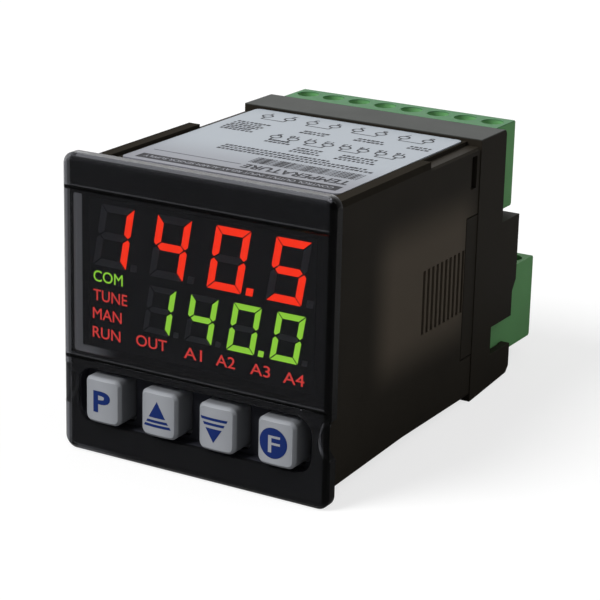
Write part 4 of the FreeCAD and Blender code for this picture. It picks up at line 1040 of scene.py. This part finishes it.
strip_words = upside_down(STRIP_TEXT, STRIP_WORDS_BOLD, *STRIP_WORDS_SIZE)
title_words = upside_down("TEMPERATURE", TITLE_BOLD, *TITLE_SIZE)
bars = marks(BAR_COUNT, BAR_PITCH, BAR_WIDTHS, BAR_HEIGHT, BAR_SEED)
label_piece("label_strip", on_label(plate(*STRIP_SIZE), *STRIP_PLACE))
label_piece("label_strip_marks", on_label(strip_words, *STRIP_WORDS_PLACE, 2 * LABEL_LIFT), label_film)
label_piece("label_title", on_label(title_words, *TITLE_PLACE))
label_piece("label_bars", on_label(bars, *BARS_PLACE))
label_piece("label_rule", on_label(plate(*RULE_SIZE), *RULE_PLACE))

SMALL_PRINT = ((-10.0, 20.4, 35), (-10.0, 21.6, 33), (-10.0, 22.8, 24), (-17.0, 32.2, 8),
               (-17.2, 33.3, 7), (-17.2, 34.4, 8), (-17.0, 35.5, 8), (-17.2, 36.6, 7), (-17.0, 37.7, 8),
               (-6.2, 28.4, 6), (-6.2, 29.6, 5), (8.5, 25.0, 9), (8.7, 26.2, 8), (8.7, 27.4, 8),
               (0.4, 25.0, 7), (0.4, 26.2, 6), (0.4, 27.4, 6), (-4.5, 36.6, 6), (-4.3, 37.8, 6),
               (5.2, 37.2, 7), (5.4, 38.4, 6), (14.6, 37.6, 5), (14.6, 38.8, 5))
PRINT_PITCH = 0.80
PRINT_WIDTHS = (0.40, 0.74)
PRINT_HEIGHT = 0.72
PRINT_SEED = 20
small_print = []
for index, (x, y, count) in enumerate(SMALL_PRINT):
    line = marks(count, PRINT_PITCH, PRINT_WIDTHS, PRINT_HEIGHT, PRINT_SEED + index)
    small_print.append(on_label(line, x, y))
label_piece("label_small_print", join_shapes(small_print))

RING_PITCH = 4.3
LOWER_RING_PITCH = 3.2
RING_ROWS = ((-15.0, 43.4, 8, 1, RING_PITCH), (-6.4, 31.8, 8, 9, LOWER_RING_PITCH))
RING_RADIUS = 0.72
RING_LINE = 0.32
RING_SIDES = 24
LEAD_LINE = 0.3
LEAD_LENGTH = 1.5
LEAD_DROP = 2.2
LINK_DROP = 2.3
NUMBER_HEIGHT = 1.8
NUMBER_BOLD = 0.03
NUMBER_SHIFT = 0.45
NUMBER_RISE = 2.0
terminal_rings = ring_tree(label_ink)
rings = []
for x, y, count, first_number, pitch in RING_ROWS:
    rings.append(on_label(grow(terminal_rings, {"Count": count, "Pitch": pitch * MM,
                                                "Radius": RING_RADIUS * MM,
                                                "Line": RING_LINE * MM}), x, y))
    for index in range(count):
        lead_x = x + index * pitch - LEAD_LINE / 2
        rings.append(on_label(plate(LEAD_LINE, LEAD_LENGTH), lead_x, y - LEAD_DROP))
        digits = letter_mesh(str(first_number + index), NUMBER_BOLD)
        for v in digits.verts:
            v.co = (-v.co.x * NUMBER_HEIGHT * MM, -v.co.y * NUMBER_HEIGHT * MM, 0)
        rings.append(on_label(digits, x + index * pitch + NUMBER_SHIFT, y + NUMBER_RISE))
    for index in range(0, count, 2):
        rings.append(on_label(plate(pitch, LEAD_LINE), x + index * pitch, y - LINK_DROP))
label_piece("label_terminals", join_shapes(rings))
